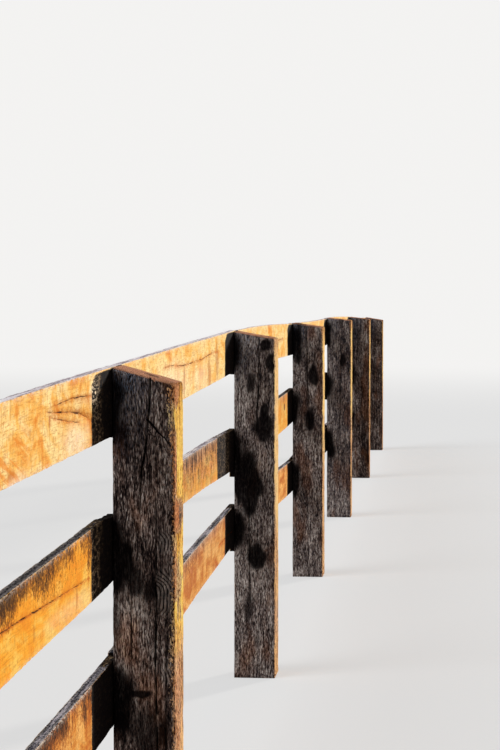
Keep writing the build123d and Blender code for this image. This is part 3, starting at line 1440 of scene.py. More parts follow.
class Shader:
    """The node tree of one material, with a Principled shader at its end."""

    def __init__(self, name: str) -> None:
        """Start a material.

        Args:
            name: Name of the material.
        """
        self.material = bpy.data.materials.new(name)
        self.material.use_nodes = True
        self.tree = self.material.node_tree
        self.surface = self.tree.nodes["Principled BSDF"]

    def plug(self, socket: bpy.types.NodeSocket, value: Operand) -> None:
        """Link a wire to a socket, or set the socket's value.

        Args:
            socket: The socket.
            value: A wire, number, colour or vector.
        """
        if isinstance(value, Wire):
            self.tree.links.new(value.socket, socket)
        elif socket.type == "RGBA" and len(value) == 3:
            socket.default_value = (*value, 1.0)
        else:
            socket.default_value = value

    def node(
        self,
        kind: str,
        settings: dict[str, object] | None = None,
        values: dict[int | str, Operand] | None = None,
        output: int | str = 0,
    ) -> Wire:
        """Add a node.

        Args:
            kind: The node's type.
            settings: Its properties, set first. stops is a list of (place, colour) for a ramp.
            values: Numbers, colours or wires for its sockets.
            output: The output to return.

        Returns:
            That output.
        """
        made = self.tree.nodes.new(kind)
        for key, setting in (settings or {}).items():
            if key == "stops":
                ramp = made.color_ramp
                while len(ramp.elements) < len(setting):
                    ramp.elements.new(0.5)
                for element, (place, colour) in zip(ramp.elements, setting):
                    element.position = place
                    element.color = (*colour, 1.0)
            else:
                setattr(made, key, setting)
        for key, value in (values or {}).items():
            self.plug(made.inputs[key], value)
        return Wire(self, made.outputs[output])

    def mark(self, name: str) -> Wire:
        """A number that the mesh carries at its points."""
        return self.node("ShaderNodeAttribute", {"attribute_name": name}, output="Fac")

    def seen(self) -> Wire:
        """1 for what the camera sees, straight or by a reflection or through glass.

        Returns:
            The number.
        """
        rays = ("Camera", "Glossy", "Transmission")
        camera, mirror, glass = (
            self.node("ShaderNodeLightPath", output=f"Is {ray} Ray") for ray in rays
        )
        return camera.either(mirror).either(glass)

    def place(self, scale: Sequence[float], offset: Sequence[float] = (0.0, 0.0, 0.0)) -> Wire:
        """The point on the piece, scaled and moved."""
        spot = self.node("ShaderNodeTexCoord", output="Object")
        moved = self.node("ShaderNodeVectorMath", {"operation": "ADD"}, {0: spot, 1: offset})
        return self.node("ShaderNodeVectorMath", {"operation": "MULTIPLY"}, {0: moved, 1: scale})

    def noise(
        self,
        scale: Sequence[float],
        detail: float = 3.0,
        roughness: float = 0.5,
        distortion: float = 0.0,
        offset: Sequence[float] = (0.0, 0.0, 0.0),
    ) -> Wire:
        """A cloudy number about 0.5.

        Args:
            scale: Cells in a metre along each axis.
            detail, roughness, distortion: As for any noise.
            offset: Added to the point.

        Returns:
            The number.
        """
        values = {
            "Vector": self.place(scale, offset),
            "Scale": 1.0,
            "Detail": detail,
            "Roughness": roughness,
            "Distortion": distortion,
        }
        return self.node("ShaderNodeTexNoise", {"noise_dimensions": "3D"}, values)

    def blend(self, share: Operand, first: Operand, second: Operand, how: str = "MIX") -> Wire:
        """Mix two colours."""
        settings = {"data_type": "RGBA", "blend_type": how, "clamp_factor": True}
        return self.node("ShaderNodeMix", settings, {0: share, 6: first, 7: second}, output=2)

    def ramp(self, value: Wire, *stops: tuple[float, Colour]) -> Wire:
        """Colour for a number, between stops."""
        return self.node("ShaderNodeValToRGB", {"stops": list(stops)}, {0: value})

    def finish(
        self,
        colour: Operand,
        roughness: Operand,
        height: Wire,
        depth: float,
        strength: float = 1.0,
    ) -> bpy.types.Material:
        """Feed the shader.

        Args:
            colour: Base colour.
            roughness: Roughness.
            height: Relief from 0 to 1.
            depth: Metres that a height of 1 stands for.
            strength: Strength of the relief.

        Returns:
            The material.
        """
        self.plug(self.surface.inputs["Base Color"], colour)
        self.plug(self.surface.inputs["Roughness"], roughness)
        values = {"Strength": strength, "Distance": depth, "Height": height}
        bump = self.node("ShaderNodeBump", {}, values)
        self.plug(self.surface.inputs["Normal"], bump)
        return self.material


class Surround(Shader):
    """The node tree of the light from all round."""

    def __init__(self, name: str) -> None:
        """Start a world.

        Args:
            name: Name of the world.
        """
        world = bpy.data.worlds.new(name)
        bpy.context.scene.world = world
        world.use_nodes = True
        self.tree = world.node_tree
        self.surface = self.tree.nodes["Background"]


# Mirror share of dry weathered wood
DRY_GLOSS = 0.01


@dataclass(frozen=True)
class PostFinish:
    """Dark weathered sawn timber: charcoal and grey streaks, black stains and an open side painted with
    low sunlight.

    Attributes:
        black: Colour of pits, cracks and damp stains.
        dark: Deepest streaks.
        middle: Usual colour.
        pale: Raised weathered fibres.
        bright: The tips of those fibres.
        brown: Warm patches.
        blue: Cool bloom near the top.
        gold: Painted sunlight on the open side.
        amber: Darker grain in that painted sunlight.
        straw: Palest grain in that painted sunlight.
        shade: Deepest grain in that painted sunlight.
        pink: Pink of the low sun, painted on the open side.
        tan: Painted sunlit specks round the open side's arris.
        glint: The palest of them, painted highlights.
        worn: Their colour where the painted sunlight is dimmed; towards the foot that dimming is
            painted shade.
        rust: Reddish wood under them.
        end: End grain, then its rings, pits, stains and raised fibres.
        gap: Inside of the open checks.
    """

    black: Colour = srgb(12, 8, 9)
    dark: Colour = srgb(42, 33, 31)
    middle: Colour = srgb(92, 75, 68)
    pale: Colour = srgb(152, 134, 124)
    bright: Colour = srgb(216, 202, 190)
    brown: Colour = srgb(132, 84, 48)
    blue: Colour = srgb(128, 140, 158)
    gold: Colour = srgb(252, 187, 78)
    amber: Colour = srgb(172, 96, 40)
    straw: Colour = srgb(255, 224, 122)
    shade: Colour = srgb(74, 40, 22)
    pink: Colour = srgb(255, 208, 164)
    tan: Colour = srgb(226, 176, 112)
    glint: Colour = srgb(255, 226, 170)
    worn: Colour = srgb(204, 100, 44)
    rust: Colour = srgb(112, 62, 38)
    end: Colours = (
        srgb(236, 164, 126), srgb(112, 62, 44), srgb(50, 30, 24), srgb(58, 34, 28), srgb(250, 200, 158),
    )
    gap: Colour = srgb(7, 4, 5)

    def make(self) -> bpy.types.Material:
        """Build the material.

        Returns:
            The material.
        """
        s = Shader("weathered_post")
        fibres = s.noise((330, 330, 62), 4, 0.62, 0.35)
        hairs = s.noise((620, 620, 110), 2, 0.5)
        coarse = s.noise((120, 120, 13), 4, 0.62, 0.5)
        pits = s.noise((400, 400, 95), 3, 0.6, 0.2, (2.0, 6.0, 3.0))
        cloud = s.noise((15, 15, 7), 4, 0.6)
        warm = s.noise((12, 12, 5), 3, 0.5, 0.0, (4.0, 2.0, 1.0))
        level = fibres * 0.48 + coarse * 0.30 + hairs * 0.22 + (cloud - 0.5) * 0.22 + s.mark("tone")
        greys = (self.black, self.dark, self.middle, self.pale, self.bright)
        body = s.ramp(level, *zip((0.415, 0.464, 0.512, 0.566, 0.630), greys))
        body = s.blend(warm.rise(0.50, 0.66) * 0.55, body, self.brown, "OVERLAY")
        body = s.blend(warm.rise(0.52, 0.70) * 0.20, body, self.brown)
        body = s.blend(s.mark("blue") * hairs.rise(0.45, 0.62) * 0.6, body, self.blue)
        body = s.blend(pits.rise(0.47, 0.36) * 0.85, body, self.black)
        turn = (s.mark("ridge") + (fibres - 0.5) * 0.5).fraction()
        furrow = turn.rise(0.20, 0.42) * turn.rise(0.80, 0.62)
        broken = coarse.rise(0.36, 0.54) * 0.45 + 0.55
        body = s.blend(s.mark("curl") * furrow * broken * 0.95, body, self.black)
        body = s.blend(s.mark("curl") * (1.0 - furrow) * broken * 0.25, body, self.bright)

        # End grain, with rings round the heart
        ring = s.mark("ring")
        turns = (ring * 265 + cloud * 1.4).fraction()
        late = turns.rise(0.45, 0.92)
        sawn, late_wood, pit, stained, fibre = self.end
        grain = s.blend(late * 0.50, sawn, late_wood)
        grain = s.blend(pits.rise(0.53, 0.63) * 0.66, grain, pit)
        grain = s.blend(coarse.rise(0.55, 0.63) * 0.46, grain, stained)
        grain = s.blend(hairs.rise(0.52, 0.66) * 0.7, grain, fibre)
        body = s.blend(s.mark("cap"), body, grain)

        stain = s.mark("soot") * 1.22 + (pits - 0.5) * 0.9 + (fibres - 0.5) * 1.2
        body = s.blend(stain.rise(0.22, 0.92) * 0.95, body, self.black)

        # Open side painted with low sunlight, broken into specks where its arris is chipped, with a
        # reddish tint beside it
        sunny = s.mark("sunny")
        speck = s.noise((300, 300, 150), 4, 0.62, 0.3, (7.0, 3.0, 5.0))
        shown = (sunny * 1.15 + (speck - 0.5) * 2.5).rise(0.60, 0.80)
        lit = fibres * 0.30 + coarse * 0.34 + speck * 0.36 + (cloud - 0.5) * 0.24 + s.mark("tone")
        # The painted sunlight is dimmed towards the foot as painted shade, and near the top and in
        # patches.
        lit = lit - s.mark("aged") * 0.070
        golds = (self.shade, self.amber, self.gold, self.straw)
        bleached = s.ramp(lit, *zip((0.405, 0.455, 0.500, 0.565), golds))
        round_arris = s.ramp(speck, (0.46, self.rust), (0.53, self.tan), (0.62, self.glint))
        round_arris = s.blend(s.mark("aged") * 0.50, round_arris, self.worn)
        bleached = s.blend(sunny.rise(0.84, 0.97), round_arris, bleached)
        bleached = s.blend(s.mark("blush") * lit.rise(0.40, 0.50), bleached, self.pink)
        body = s.blend(sunny.rise(0.05, 0.70) * 0.55, body, self.rust, "MULTIPLY")
        body = s.blend(shown, body, bleached)
        slit = s.mark("slit_half") - (s.mark("slit") + (fibres - 0.5) * 0.0014).magnitude()
        body = s.blend(slit.rise(0.0, 0.0008), body, self.gap)
        body = s.blend(s.mark("crack").rise(0.25, 0.8), body, self.gap)
        height = fibres + coarse * 0.9 + hairs * 0.35 + pits.rise(0.36, 0.47) * 0.5
        height = height - late * s.mark("cap") * 0.3
        s.surface.inputs["Specular IOR Level"].default_value = DRY_GLOSS
        return s.finish(body, 0.82 + fibres * 0.16, height, 0.0040)


@dataclass(frozen=True)
class RailFinish:
    """Honey-coloured sawn board, greyer on its upper edge and outer face.

    Attributes:
        name: Name of the material.
        pale: Lightest wood.
        gold: Usual colour.
        orange: Warm streaks and stains.
        late: Dark lines of the rings and specks.
        mould: Brown mottling.
        grey: Weathered upper edge.
        grit: Dark streaks in it.
        frost: Pale streaks in it.
        stain_share: Strength of the warm stains.
        rim_share: Strength of the pale worn arris.
        crackle_share: Strength of the fine crackle of drying.
        bleached: Bleached patches.
        rot: Blackest mould.
        dusk: Bluish tint of the dulled wood.
        ash: Dulled wood, its dark and pale streaks, and its specks.
        outer: Dark, usual and pale wood of the outer face.
        silver: The same for a frosted upper edge.
        knot: Light and dark rings of a knot, its checks and its rim.
        rim: Worn arris.
        rust: Weeps and streaks of rust.
        halo: Stain round a crack.
        damp: Colours of the band at the posts, from black to pale: damp stain and painted shadow
            together.
        damp_pale: Bleached patches in it.
        blackening: Blackest part of that band, damp stain and painted shadow.
        gap: Inside of the cracks.
    """

    name: str
    pale: Colour
    gold: Colour
    orange: Colour
    late: Colour
    mould: Colour
    grey: Colour
    grit: Colour
    frost: Colour
    stain_share: float
    rim_share: float = 0.85
    crackle_share: float = 0.55
    bleached: Colour = srgb(255, 246, 212)
    rot: Colour = srgb(30, 18, 13)
    dusk: Colour = srgb(200, 206, 255)
    ash: Colours = (srgb(178, 126, 92), srgb(66, 46, 34), srgb(236, 182, 134), srgb(226, 168, 118))
    outer: Colours = (srgb(74, 58, 46), srgb(140, 116, 92), srgb(190, 166, 136))
    silver: Colours = (srgb(96, 88, 98), srgb(150, 138, 146), srgb(238, 226, 220))
    knot: Colours = (srgb(152, 88, 42), srgb(72, 38, 20), srgb(34, 20, 14), srgb(58, 30, 18))
    rim: Colour = srgb(250, 234, 214)
    rust: Colour = srgb(176, 84, 20)
    halo: Colour = srgb(206, 104, 30)
    damp: Colours = (srgb(13, 9, 8), srgb(42, 31, 23), srgb(84, 66, 48), srgb(150, 126, 98))
    damp_pale: Colour = srgb(250, 226, 190)
    soot: Colour = srgb(12, 8, 8)
    gap: Colour = srgb(66, 30, 10)

    def make(self) -> bpy.types.Material:
        """Build the material.

        Returns:
            The material.
        """
        s = Shader(self.name)
        ring = s.mark("ring")
        warp = s.noise((1.3, 9, 9), 4, 0.55)
        fibres = s.noise((14, 380, 380), 4, 0.62)
        strands = s.noise((5, 120, 120), 4, 0.6, 0.3)
        saw = s.noise((300, 26, 26), 3, 0.55)
        kerf = s.noise((95, 5, 5), 3, 0.6)
        cloud = s.noise((7, 15, 15), 5, 0.62, 0.6)
        drip = s.noise((26, 2.6, 2.6), 4, 0.65)
        flecks = s.noise((90, 210, 210), 4, 0.65)
        turns = (ring * 118 + warp * 3.2).fraction()
        late = turns.rise(0.30, 0.86) * turns.rise(1.0, 0.92) * cloud.rise(0.40, 0.66)

        # Grain that runs down across the board near big knots
        turn = {"Vector": s.place((1, 1, 1)), "Angle": -0.33}
        turned = s.node("ShaderNodeVectorRotate", {"rotation_type": "Y_AXIS"}, turn)
        stretch = {0: turned, 1: (6.0, 20.0, 88.0)}
        stretched = s.node("ShaderNodeVectorMath", {"operation": "MULTIPLY"}, stretch)
        strips = {"Vector": stretched, "Scale": 1.0, "Detail": 4.0, "Distortion": 0.4}
        slant = s.node("ShaderNodeTexNoise", {}, strips)

        level = cloud + s.mark("tone")
        level = level + (saw - 0.5) * 0.24 + (kerf - 0.5) * 0.16 + (strands - 0.5) * 0.18
        wood = s.ramp(level, (0.36, self.orange), (0.48, self.gold), (0.60, self.pale))
        wood = s.blend(late * 0.12, wood, self.late)
        wood = s.blend(fibres.rise(0.47, 0.30) * 0.40, wood, self.late)
        wood = s.blend(drip.rise(0.54, 0.68) * self.stain_share, wood, self.orange)
        wood = s.blend(saw.rise(0.56, 0.68) * 0.34, wood, self.late)
        wood = s.blend(saw.rise(0.46, 0.34) * 0.30, wood, self.pale)

        # Fine crackle of drying, along the grain and across it
        along = s.noise((26, 270, 270), 3, 0.6, 0.2, (1.0, 2.0, 5.0))
        over = s.noise((105, 42, 42), 3, 0.6, 0.2, (5.0, 2.0, 1.0))
        crackle = along.rise(0.54, 0.63).either(over.rise(0.54, 0.63))
        crackle = crackle * (cloud.rise(0.30, 0.62) * 0.7 + 0.3)
        wood = s.blend(s.mark("faded") * (0.55 + (flecks - 0.5) * 0.9), wood, self.bleached)
        wood = s.blend(crackle * self.crackle_share, wood, self.late)
        wood = s.blend(s.mark("slanted") * slant.rise(0.50, 0.62) * 0.75, wood, self.orange)
        wood = s.blend(flecks.rise(0.57, 0.67) * 0.42, wood, self.late)

        # Mould on the upper part: streaks that hang from the upper edge, broken into specks
        hang = s.noise((46, 15, 15), 4, 0.68, 0.5)
        spots = s.noise((130, 170, 120), 4, 0.7, 0.4, (3.0, 1.0, 2.0))
        mottle = s.mark("mottle")
        covered = mottle * 1.05 + (hang - 0.5) * 1.3 + (spots - 0.5) * 2.1
        wood = s.blend(covered.rise(0.16, 0.60) * 0.70, wood, self.orange)
        wood = s.blend(covered.rise(0.38, 0.80) * 0.80, wood, self.mould)
        wood = s.blend(covered.rise(0.72, 1.10) * 0.80, wood, self.rot)

        # Wood whose gold is dulled to a bluish grey-brown, more towards the upper edge
        faded, dark, pale, speck = self.ash
        dull = s.mark("dull")
        wood = s.blend(dull * 0.80, wood, self.dusk, "MULTIPLY")
        wood = s.blend(dull * 0.45, wood, faded)
        streak = flecks * 0.3 + hang * 0.7
        wood = s.blend(dull.rise(0.28, 0.72) * streak.rise(0.505, 0.565) * 0.92, wood, dark)
        wood = s.blend(dull.rise(0.10, 0.60) * streak.rise(0.47, 0.42) * 0.50, wood, pale)
        fleck = (spots * 0.5 + drip * 0.5).rise(0.54, 0.64)
        wood = s.blend(dull * fleck * 0.55, wood, speck)

        # Outer face and upper edge are greyed by the weather
        outer = s.mark("outer")
        grey_wood = s.ramp(strands * 0.5 + fibres * 0.5, *zip((0.38, 0.50, 0.62), self.outer))
        wood = s.blend(outer * (cloud.rise(0.62, 0.34) * 0.25 + 0.68), wood, grey_wood)
        upper = s.mark("upper")
        weathered = strands * 0.62 + flecks * 0.38 + s.mark("frosted")
        weather = s.ramp(weathered, (0.43, self.grit), (0.50, self.grey), (0.585, self.frost))
        bleach = s.ramp(weathered, *zip((0.50, 0.60, 0.70), self.silver))
        weather = s.blend(s.mark("frosted").rise(0.04, 0.12), weather, bleach)
        wood = s.blend((upper * 1.5 + (flecks - 0.5) * 0.8).rise(0.35, 0.8), wood, weather)

        # Knots, with a dark rim and turning rings
        knot = s.mark("knot") + (flecks - 0.5) * 0.10 + (cloud - 0.5) * 0.10
        swirl = (knot * 9 + warp * 2).fraction()
        light, dark, check, rim = self.knot
        core = s.blend(swirl.rise(0.3, 0.8) * 0.75, light, dark)
        core = s.blend(flecks.rise(0.54, 0.64) * 0.8, core, check)
        wood = s.blend(knot.rise(0.20, 0.5) * (0.55 - outer * 0.35), wood, self.orange)
        wood = s.blend(knot.rise(0.46, 0.56), wood, core)
        wood = s.blend(knot.rise(0.42, 0.49) * knot.rise(0.56, 0.50) * 0.8, wood, rim)

        # Pale worn arris, rust, damp stain with the posts' painted shadow at the posts, dirt in the
        # cracks
        arris = s.mark("arris") * flecks.rise(0.42, 0.56)
        wood = s.blend(arris * self.rim_share, wood, self.rim)
        wood = s.blend(s.mark("rust") * (0.35 + drip * 0.8), wood, self.rust)
        wood = s.blend(s.mark("halo") * (flecks.rise(0.40, 0.60) * 0.5 + 0.25), wood, self.halo)
        grit = s.noise((48, 130, 140), 4, 0.70, 0.2, (1.0, 4.0, 2.0))
        soot = s.mark("soot")
        damp = s.ramp(grit, *zip((0.42, 0.50, 0.57, 0.66), self.damp))
        shown = (flecks * 0.6 + grit * 0.4).rise(0.50, 0.58)
        damp = s.blend(s.mark("faded") * shown * 0.9, damp, self.damp_pale)
        # These damp colours paint the posts' shadow as well as the damp stain.
        wood = s.blend((soot * 1.6 + (grit - 0.5) * 1.1).rise(0.50, 0.80), wood, damp)
        wood = s.blend((soot + (grit - 0.5) * 0.35).rise(0.66, 0.92) * 0.96, wood, self.soot)
        dashes = s.noise((70, 20, 20), 3, 0.6, 0.0, (2.0, 2.0, 2.0)).rise(0.40, 0.52) * 0.75 + 0.25
        wood = s.blend(s.mark("crack").rise(0.18, 0.6) * dashes, wood, self.gap)
        height = fibres * 0.5 + strands * 0.5 + saw * 0.55 + kerf * 0.5 - late * 0.3 + flecks * 0.35
        s.surface.inputs["Specular IOR Level"].default_value = DRY_GLOSS
        return s.finish(wood, 0.72 + fibres * 0.24, height, 0.0022, 0.8)


@dataclass(frozen=True)
class NailFinish:
    """Rusted steel, worn brighter on the crown of each head."""

    rust: Colour = srgb(92, 52, 34)
    flaky: Colour = srgb(126, 76, 46)
    dark: Colour = srgb(44, 32, 28)
    bright: Colour = srgb(140, 128, 118)

    def make(self) -> bpy.types.Material:
        """Build the material.

        Returns:
            The material.
        """
        s = Shader("rusted_nails")
        crust = s.noise((900, 900, 900), 4, 0.6)
        patch = s.noise((320, 320, 320), 2, 0.5)
        colour = s.ramp(crust, (0.36, self.dark), (0.56, self.rust), (0.74, self.flaky))
        worn = patch.rise(0.56, 0.68)
        colour = s.blend(worn * 0.7, colour, self.bright)
        s.plug(s.surface.inputs["Metallic"], worn * 0.7)
        return s.finish(colour, 0.82 - worn * 0.3, crust, 0.0004, 0.8)


@dataclass
class Studio:
    """Floor, lamps, backdrop and camera.

    Attributes:
        sun_bearing: Angle of the key lamp from the fence's +X end towards its open side.
        sun_height: Angle of the key lamp above the floor.
        sun_strength: Strength of the key lamp.
        sun_spread: Angular size of the key lamp, which softens its shadows.
        fill: Brightness of the light from all round.
        horizon: Brightness of floor and backdrop towards the camera.
    """

    sun_bearing: float = 30.5
    sun_height: float = 7.0
    sun_strength: float = 4.6
    sun_spread: float = 5.0
    fill: float = 0.26
    horizon: float = 0.90

    def backdrop(self) -> Colour:
        """Colour of the floor and backdrop far off."""
        return (self.horizon, self.horizon * 0.992, self.horizon * 0.98)

    def add_floor(self) -> bpy.types.Object:
        """Lay a pale floor that fades into the backdrop.

        Returns:
            The floor.
        """
        reach, level = 90.0, -0.0003
        corners = ((-reach, -reach), (reach, -reach), (reach, reach), (-reach, reach))
        points = np.array([(x, y, level) for x, y in corners])
        floor = add_piece("studio_floor", points, [np.array([(0, 1, 2, 3)])], {})
        s = Shader("pale_floor")
        s.surface.inputs["Base Color"].default_value = (0.74, 0.73, 0.72, 1.0)
        s.surface.inputs["Roughness"].default_value = 0.9
        s.surface.inputs["Specular IOR Level"].default_value = 0.0
        glow = s.node("ShaderNodeEmission", {}, {"Color": self.backdrop()})
        flat = {0: s.place((1, 1, 0))}
        away = s.node("ShaderNodeVectorMath", {"operation": "LENGTH"}, flat, output="Value")
        share = s.seen() * (0.58 + 0.42 * away.rise(11.0, 26.0))
        mixed = s.node("ShaderNodeMixShader", {}, {0: share, 1: Wire(s, s.surface.outputs[0]), 2: glow})
        s.plug(s.tree.nodes["Material Output"].inputs["Surface"], mixed)
        floor.data.materials.append(s.material)
        return floor

    def add_light(self) -> None:
        """Add the key lamp, one that rakes the posts' near faces, and the light from all round."""
        bearing, height = math.radians(self.sun_bearing), math.radians(self.sun_height)
        across, up = math.cos(height), math.sin(height)
        sun = Vector((math.cos(bearing) * across, -math.sin(bearing) * across, up))
        rake = Vector((-0.50, 0.62, 0.60))
        lamps = (
            ("key_lamp", self.sun_strength, self.sun_spread, (1.0, 0.965, 0.92), sun),
            ("fill_lamp", 1.9, 38.0, (0.90, 0.95, 1.0), rake),
        )
        for name, strength, spread, colour, towards in lamps:
            lamp = bpy.data.lights.new(name, "SUN")
            lamp.energy = strength
            lamp.angle = math.radians(spread)
            lamp.color = colour
            holder = bpy.data.objects.new(name, lamp)
            holder.rotation_euler = towards.to_track_quat("Z", "Y").to_euler()
            bpy.context.scene.collection.objects.link(holder)
        s = Surround("studio")
        soft = (self.fill * 0.97, self.fill, self.fill * 1.06)
        s.plug(s.surface.inputs["Color"], s.blend(s.seen(), soft, self.backdrop()))

    def add_camera(self) -> None:
        """Set the camera up where the photograph was taken from, along the fence."""
        data = bpy.data.cameras.new("camera")
        data.sensor_width = 36.0
        data.lens = 98.4
        data.clip_end = 400.0
        camera = bpy.data.objects.new("camera", data)
        camera.location = (-9.370, -0.685, 1.3235)
        yaw, pitch = math.radians(5.827), math.radians(2.458)
        level = math.cos(pitch)
        look = Vector((math.cos(yaw) * level, math.sin(yaw) * level, -math.sin(pitch)))
        camera.rotation_euler = look.to_track_quat("-Z", "Y").to_euler()
        bpy.context.scene.collection.objects.link(camera)
        bpy.context.scene.camera = camera


# Short names of the sides that carry cracks
NEAR, OPEN, FAR = PostSide.NEAR, PostSide.OPEN, PostSide.FAR
INNER, OUTER = RailSide.INNER, RailSide.OUTER

# The posts, from the -X end
POSTS = (
    Post(1, 10.5, 22, 0.012, (
        check(NEAR, 1.04, 0.52, 0.022, -0.012, 0.005, 0.016),
        check(OPEN, 0.85, 0.42, -0.01, 0.008, 0.004, 0.014),
    )),
    Post(
        2, 15.5, 60, 0.0044,
        cracks=(
            Crack(NEAR, (
                (1.34, -0.018), (1.12, -0.014), (1.031, -0.007), (0.983, -0.002), (0.941, 0.005),
                (0.84, 0.009),
            ), 0.0056, 0.02),
            Crack(NEAR, (
                (0.9, -0.026), (0.793, -0.027), (0.55, -0.025), (0.3, -0.029), (0.12, -0.03),
            ), 0.0052, 0.018),
            check(NEAR, 0.78, 0.34, 0.031, -0.006, 0.0022, 0.006),
            check(NEAR, 0.6, 0.42, -0.05, 0.004, 0.0026, 0.008),
            Crack(OPEN, ((0.95, -0.022), (0.7, -0.017), (0.42, -0.024)), 0.0045, 0.018),
            Crack(OPEN, ((1.02, 0.016), (1.0, 0.018), (0.98, 0.017)), 0.007, 0.012),
            Crack(FAR, ((1.14, 0.02), (0.9, 0.012), (0.55, 0.016)), 0.005, 0.018),
        ),
        blotches=(
            Spot(0.43, 0.008, 0.013, 0.036, 0.85), Spot(0.694, 0.036, 0.032, 0.03, 0.62),
            Spot(0.672, 0.01, 0.03, 0.026, 0.62), Spot(0.656, -0.014, 0.03, 0.024, 0.62),
            Spot(0.725, 0.045, 0.045, 0.028, 0.8), Spot(0.35, 0.0, 0.07, 0.06, 0.5),
        ),
        slash=(1.031, -0.011, 0.968, -0.069),
        curls=(
            Spot(0.655, -0.047, 0.055, 0.026), Spot(0.765, -0.048, 0.028, 0.016, 0.7),
            Spot(0.478, -0.05, 0.026, 0.017, 0.7),
        ),
        pales=(
            Spot(0.6, 0.03, 0.12, 0.045), Spot(0.5, 0.012, 0.1, 0.06, 0.7),
            Spot(1.06, 0.045, 0.05, 0.03, 0.4),
        ),
        scars=(
            Spot(1.092, -0.05, 0.03, 0.04, 0.8), Spot(0.93, -0.072, 0.075, 0.034, 0.9),
            Spot(0.822, -0.045, 0.034, 0.075), Spot(0.7, -0.072, 0.06, 0.026, 0.7),
            Spot(0.4, -0.04, 0.13, 0.05, 0.8),
        ),
        wear=0.01, tone=0.01, fringe=0.021, blush=0.0,
    ),
    Post(
        3, 10.0, 30, 0.0085,
        cracks=(
            check(NEAR, 1.19, 0.38, -0.016, 0.01, 0.005, 0.018),
            check(NEAR, 0.66, 0.4, 0.02, -0.006, 0.004, 0.014),
            check(OPEN, 0.9, 0.5, -0.012, 0.01, 0.004, 0.014),
        ),
        blotches=(
            Spot(1.13, -0.034, 0.024, 0.02), Spot(1.066, -0.055, 0.032, 0.022, 0.9),
            Spot(0.99, 0.013, 0.045, 0.016, 0.62), Spot(0.9, -0.034, 0.048, 0.019),
            Spot(0.856, -0.033, 0.048, 0.036), Spot(0.655, 0.02, 0.12, 0.052),
            Spot(0.41, -0.01, 0.06, 0.03, 0.8),
        ),
        pales=(Spot(0.86, 0.04, 0.07, 0.032, 0.2), Spot(0.74, -0.02, 0.06, 0.04, 0.3)),
        wear=0.005, tone=0.034, cool=0.12, fringe=0.007, blush=0.5,
    ),
    Post(4, 8.0, 22, 0.012, (
        check(NEAR, 1.18, 0.46, 0.008, -0.014, 0.005, 0.016),
        check(OPEN, 0.85, 0.48, -0.016, 0.006, 0.004, 0.014),
    ), (
        Spot(1.08, 0.045, 0.12, 0.03, 0.8), Spot(0.925, -0.028, 0.048, 0.026, 0.9),
        Spot(0.72, -0.004, 0.065, 0.026, 0.85),
    ), tone=0.026, cool=0.15),
    Post(5, 6.0, 20, 0.014, (
        check(NEAR, 1.0, 0.56, -0.012, 0.009, 0.005, 0.016),
        check(FAR, 1.16, 0.38, 0.01, -0.008, 0.005, 0.015),
    ), (Spot(0.9, -0.02, 0.05, 0.02, 0.8),), tone=0.026, cool=0.3),
    Post(6, 7.0, 20, 0.014, (
        check(NEAR, 1.13, 0.42, 0.016, -0.01, 0.005, 0.016),
        check(OPEN, 0.7, 0.46, 0.006, 0.007, 0.004, 0.014),
    )),
    Post(7, 9.5, 20, 0.014, (
        check(NEAR, 0.99, 0.48, -0.008, 0.008, 0.005, 0.016),
        check(FAR, 1.09, 0.52, -0.014, 0.012, 0.005, 0.016),
    )),
)

# How fine the rails' meshes are: cells across height and thickness, and length of a cell
FINE = ((42, 8), 0.008)
MEDIUM = ((24, 7), 0.016)
PLAIN = ((16, 6), 0.022)


def far_rails() -> list[Rail]:
    """The rails of the far three bays, each with one split and one knot.

    Returns:
        The rails, course by course.
    """
    levels = ((1.08, 1.06, 1.03), (0.77, 0.75, 0.72), (0.46, 0.44, 0.41))
    wanes = {(Course.BOTTOM, 4): 0.018, (Course.MIDDLE, 5): 0.014, (Course.TOP, 6): 0.01}
    rails = []
    for index, course in enumerate(Course):
        for bay, level in zip((4, 5, 6), levels[index]):
            start = post_centre(bay)
            split = ((start + 0.9, level), (start + 1.3, level - 0.01), (start + 1.8, level - 0.004))
            rails.append(Rail(
                course, bay, *PLAIN,
                cracks=(Crack(INNER, split, 0.0035, 0.006),),
                knots=(Spot(start + 0.55 + 0.31 * (bay + index), level + 0.02, 0.026, 0.014),),
                wane=wanes.get((course, bay), 0.0),
                heart=(0.04 + 0.008 * index, 0.015 * (bay - 5)),
                tone=0.03 - 0.02 * index,
                mottle=0.45 * index,
            ))
    return rails


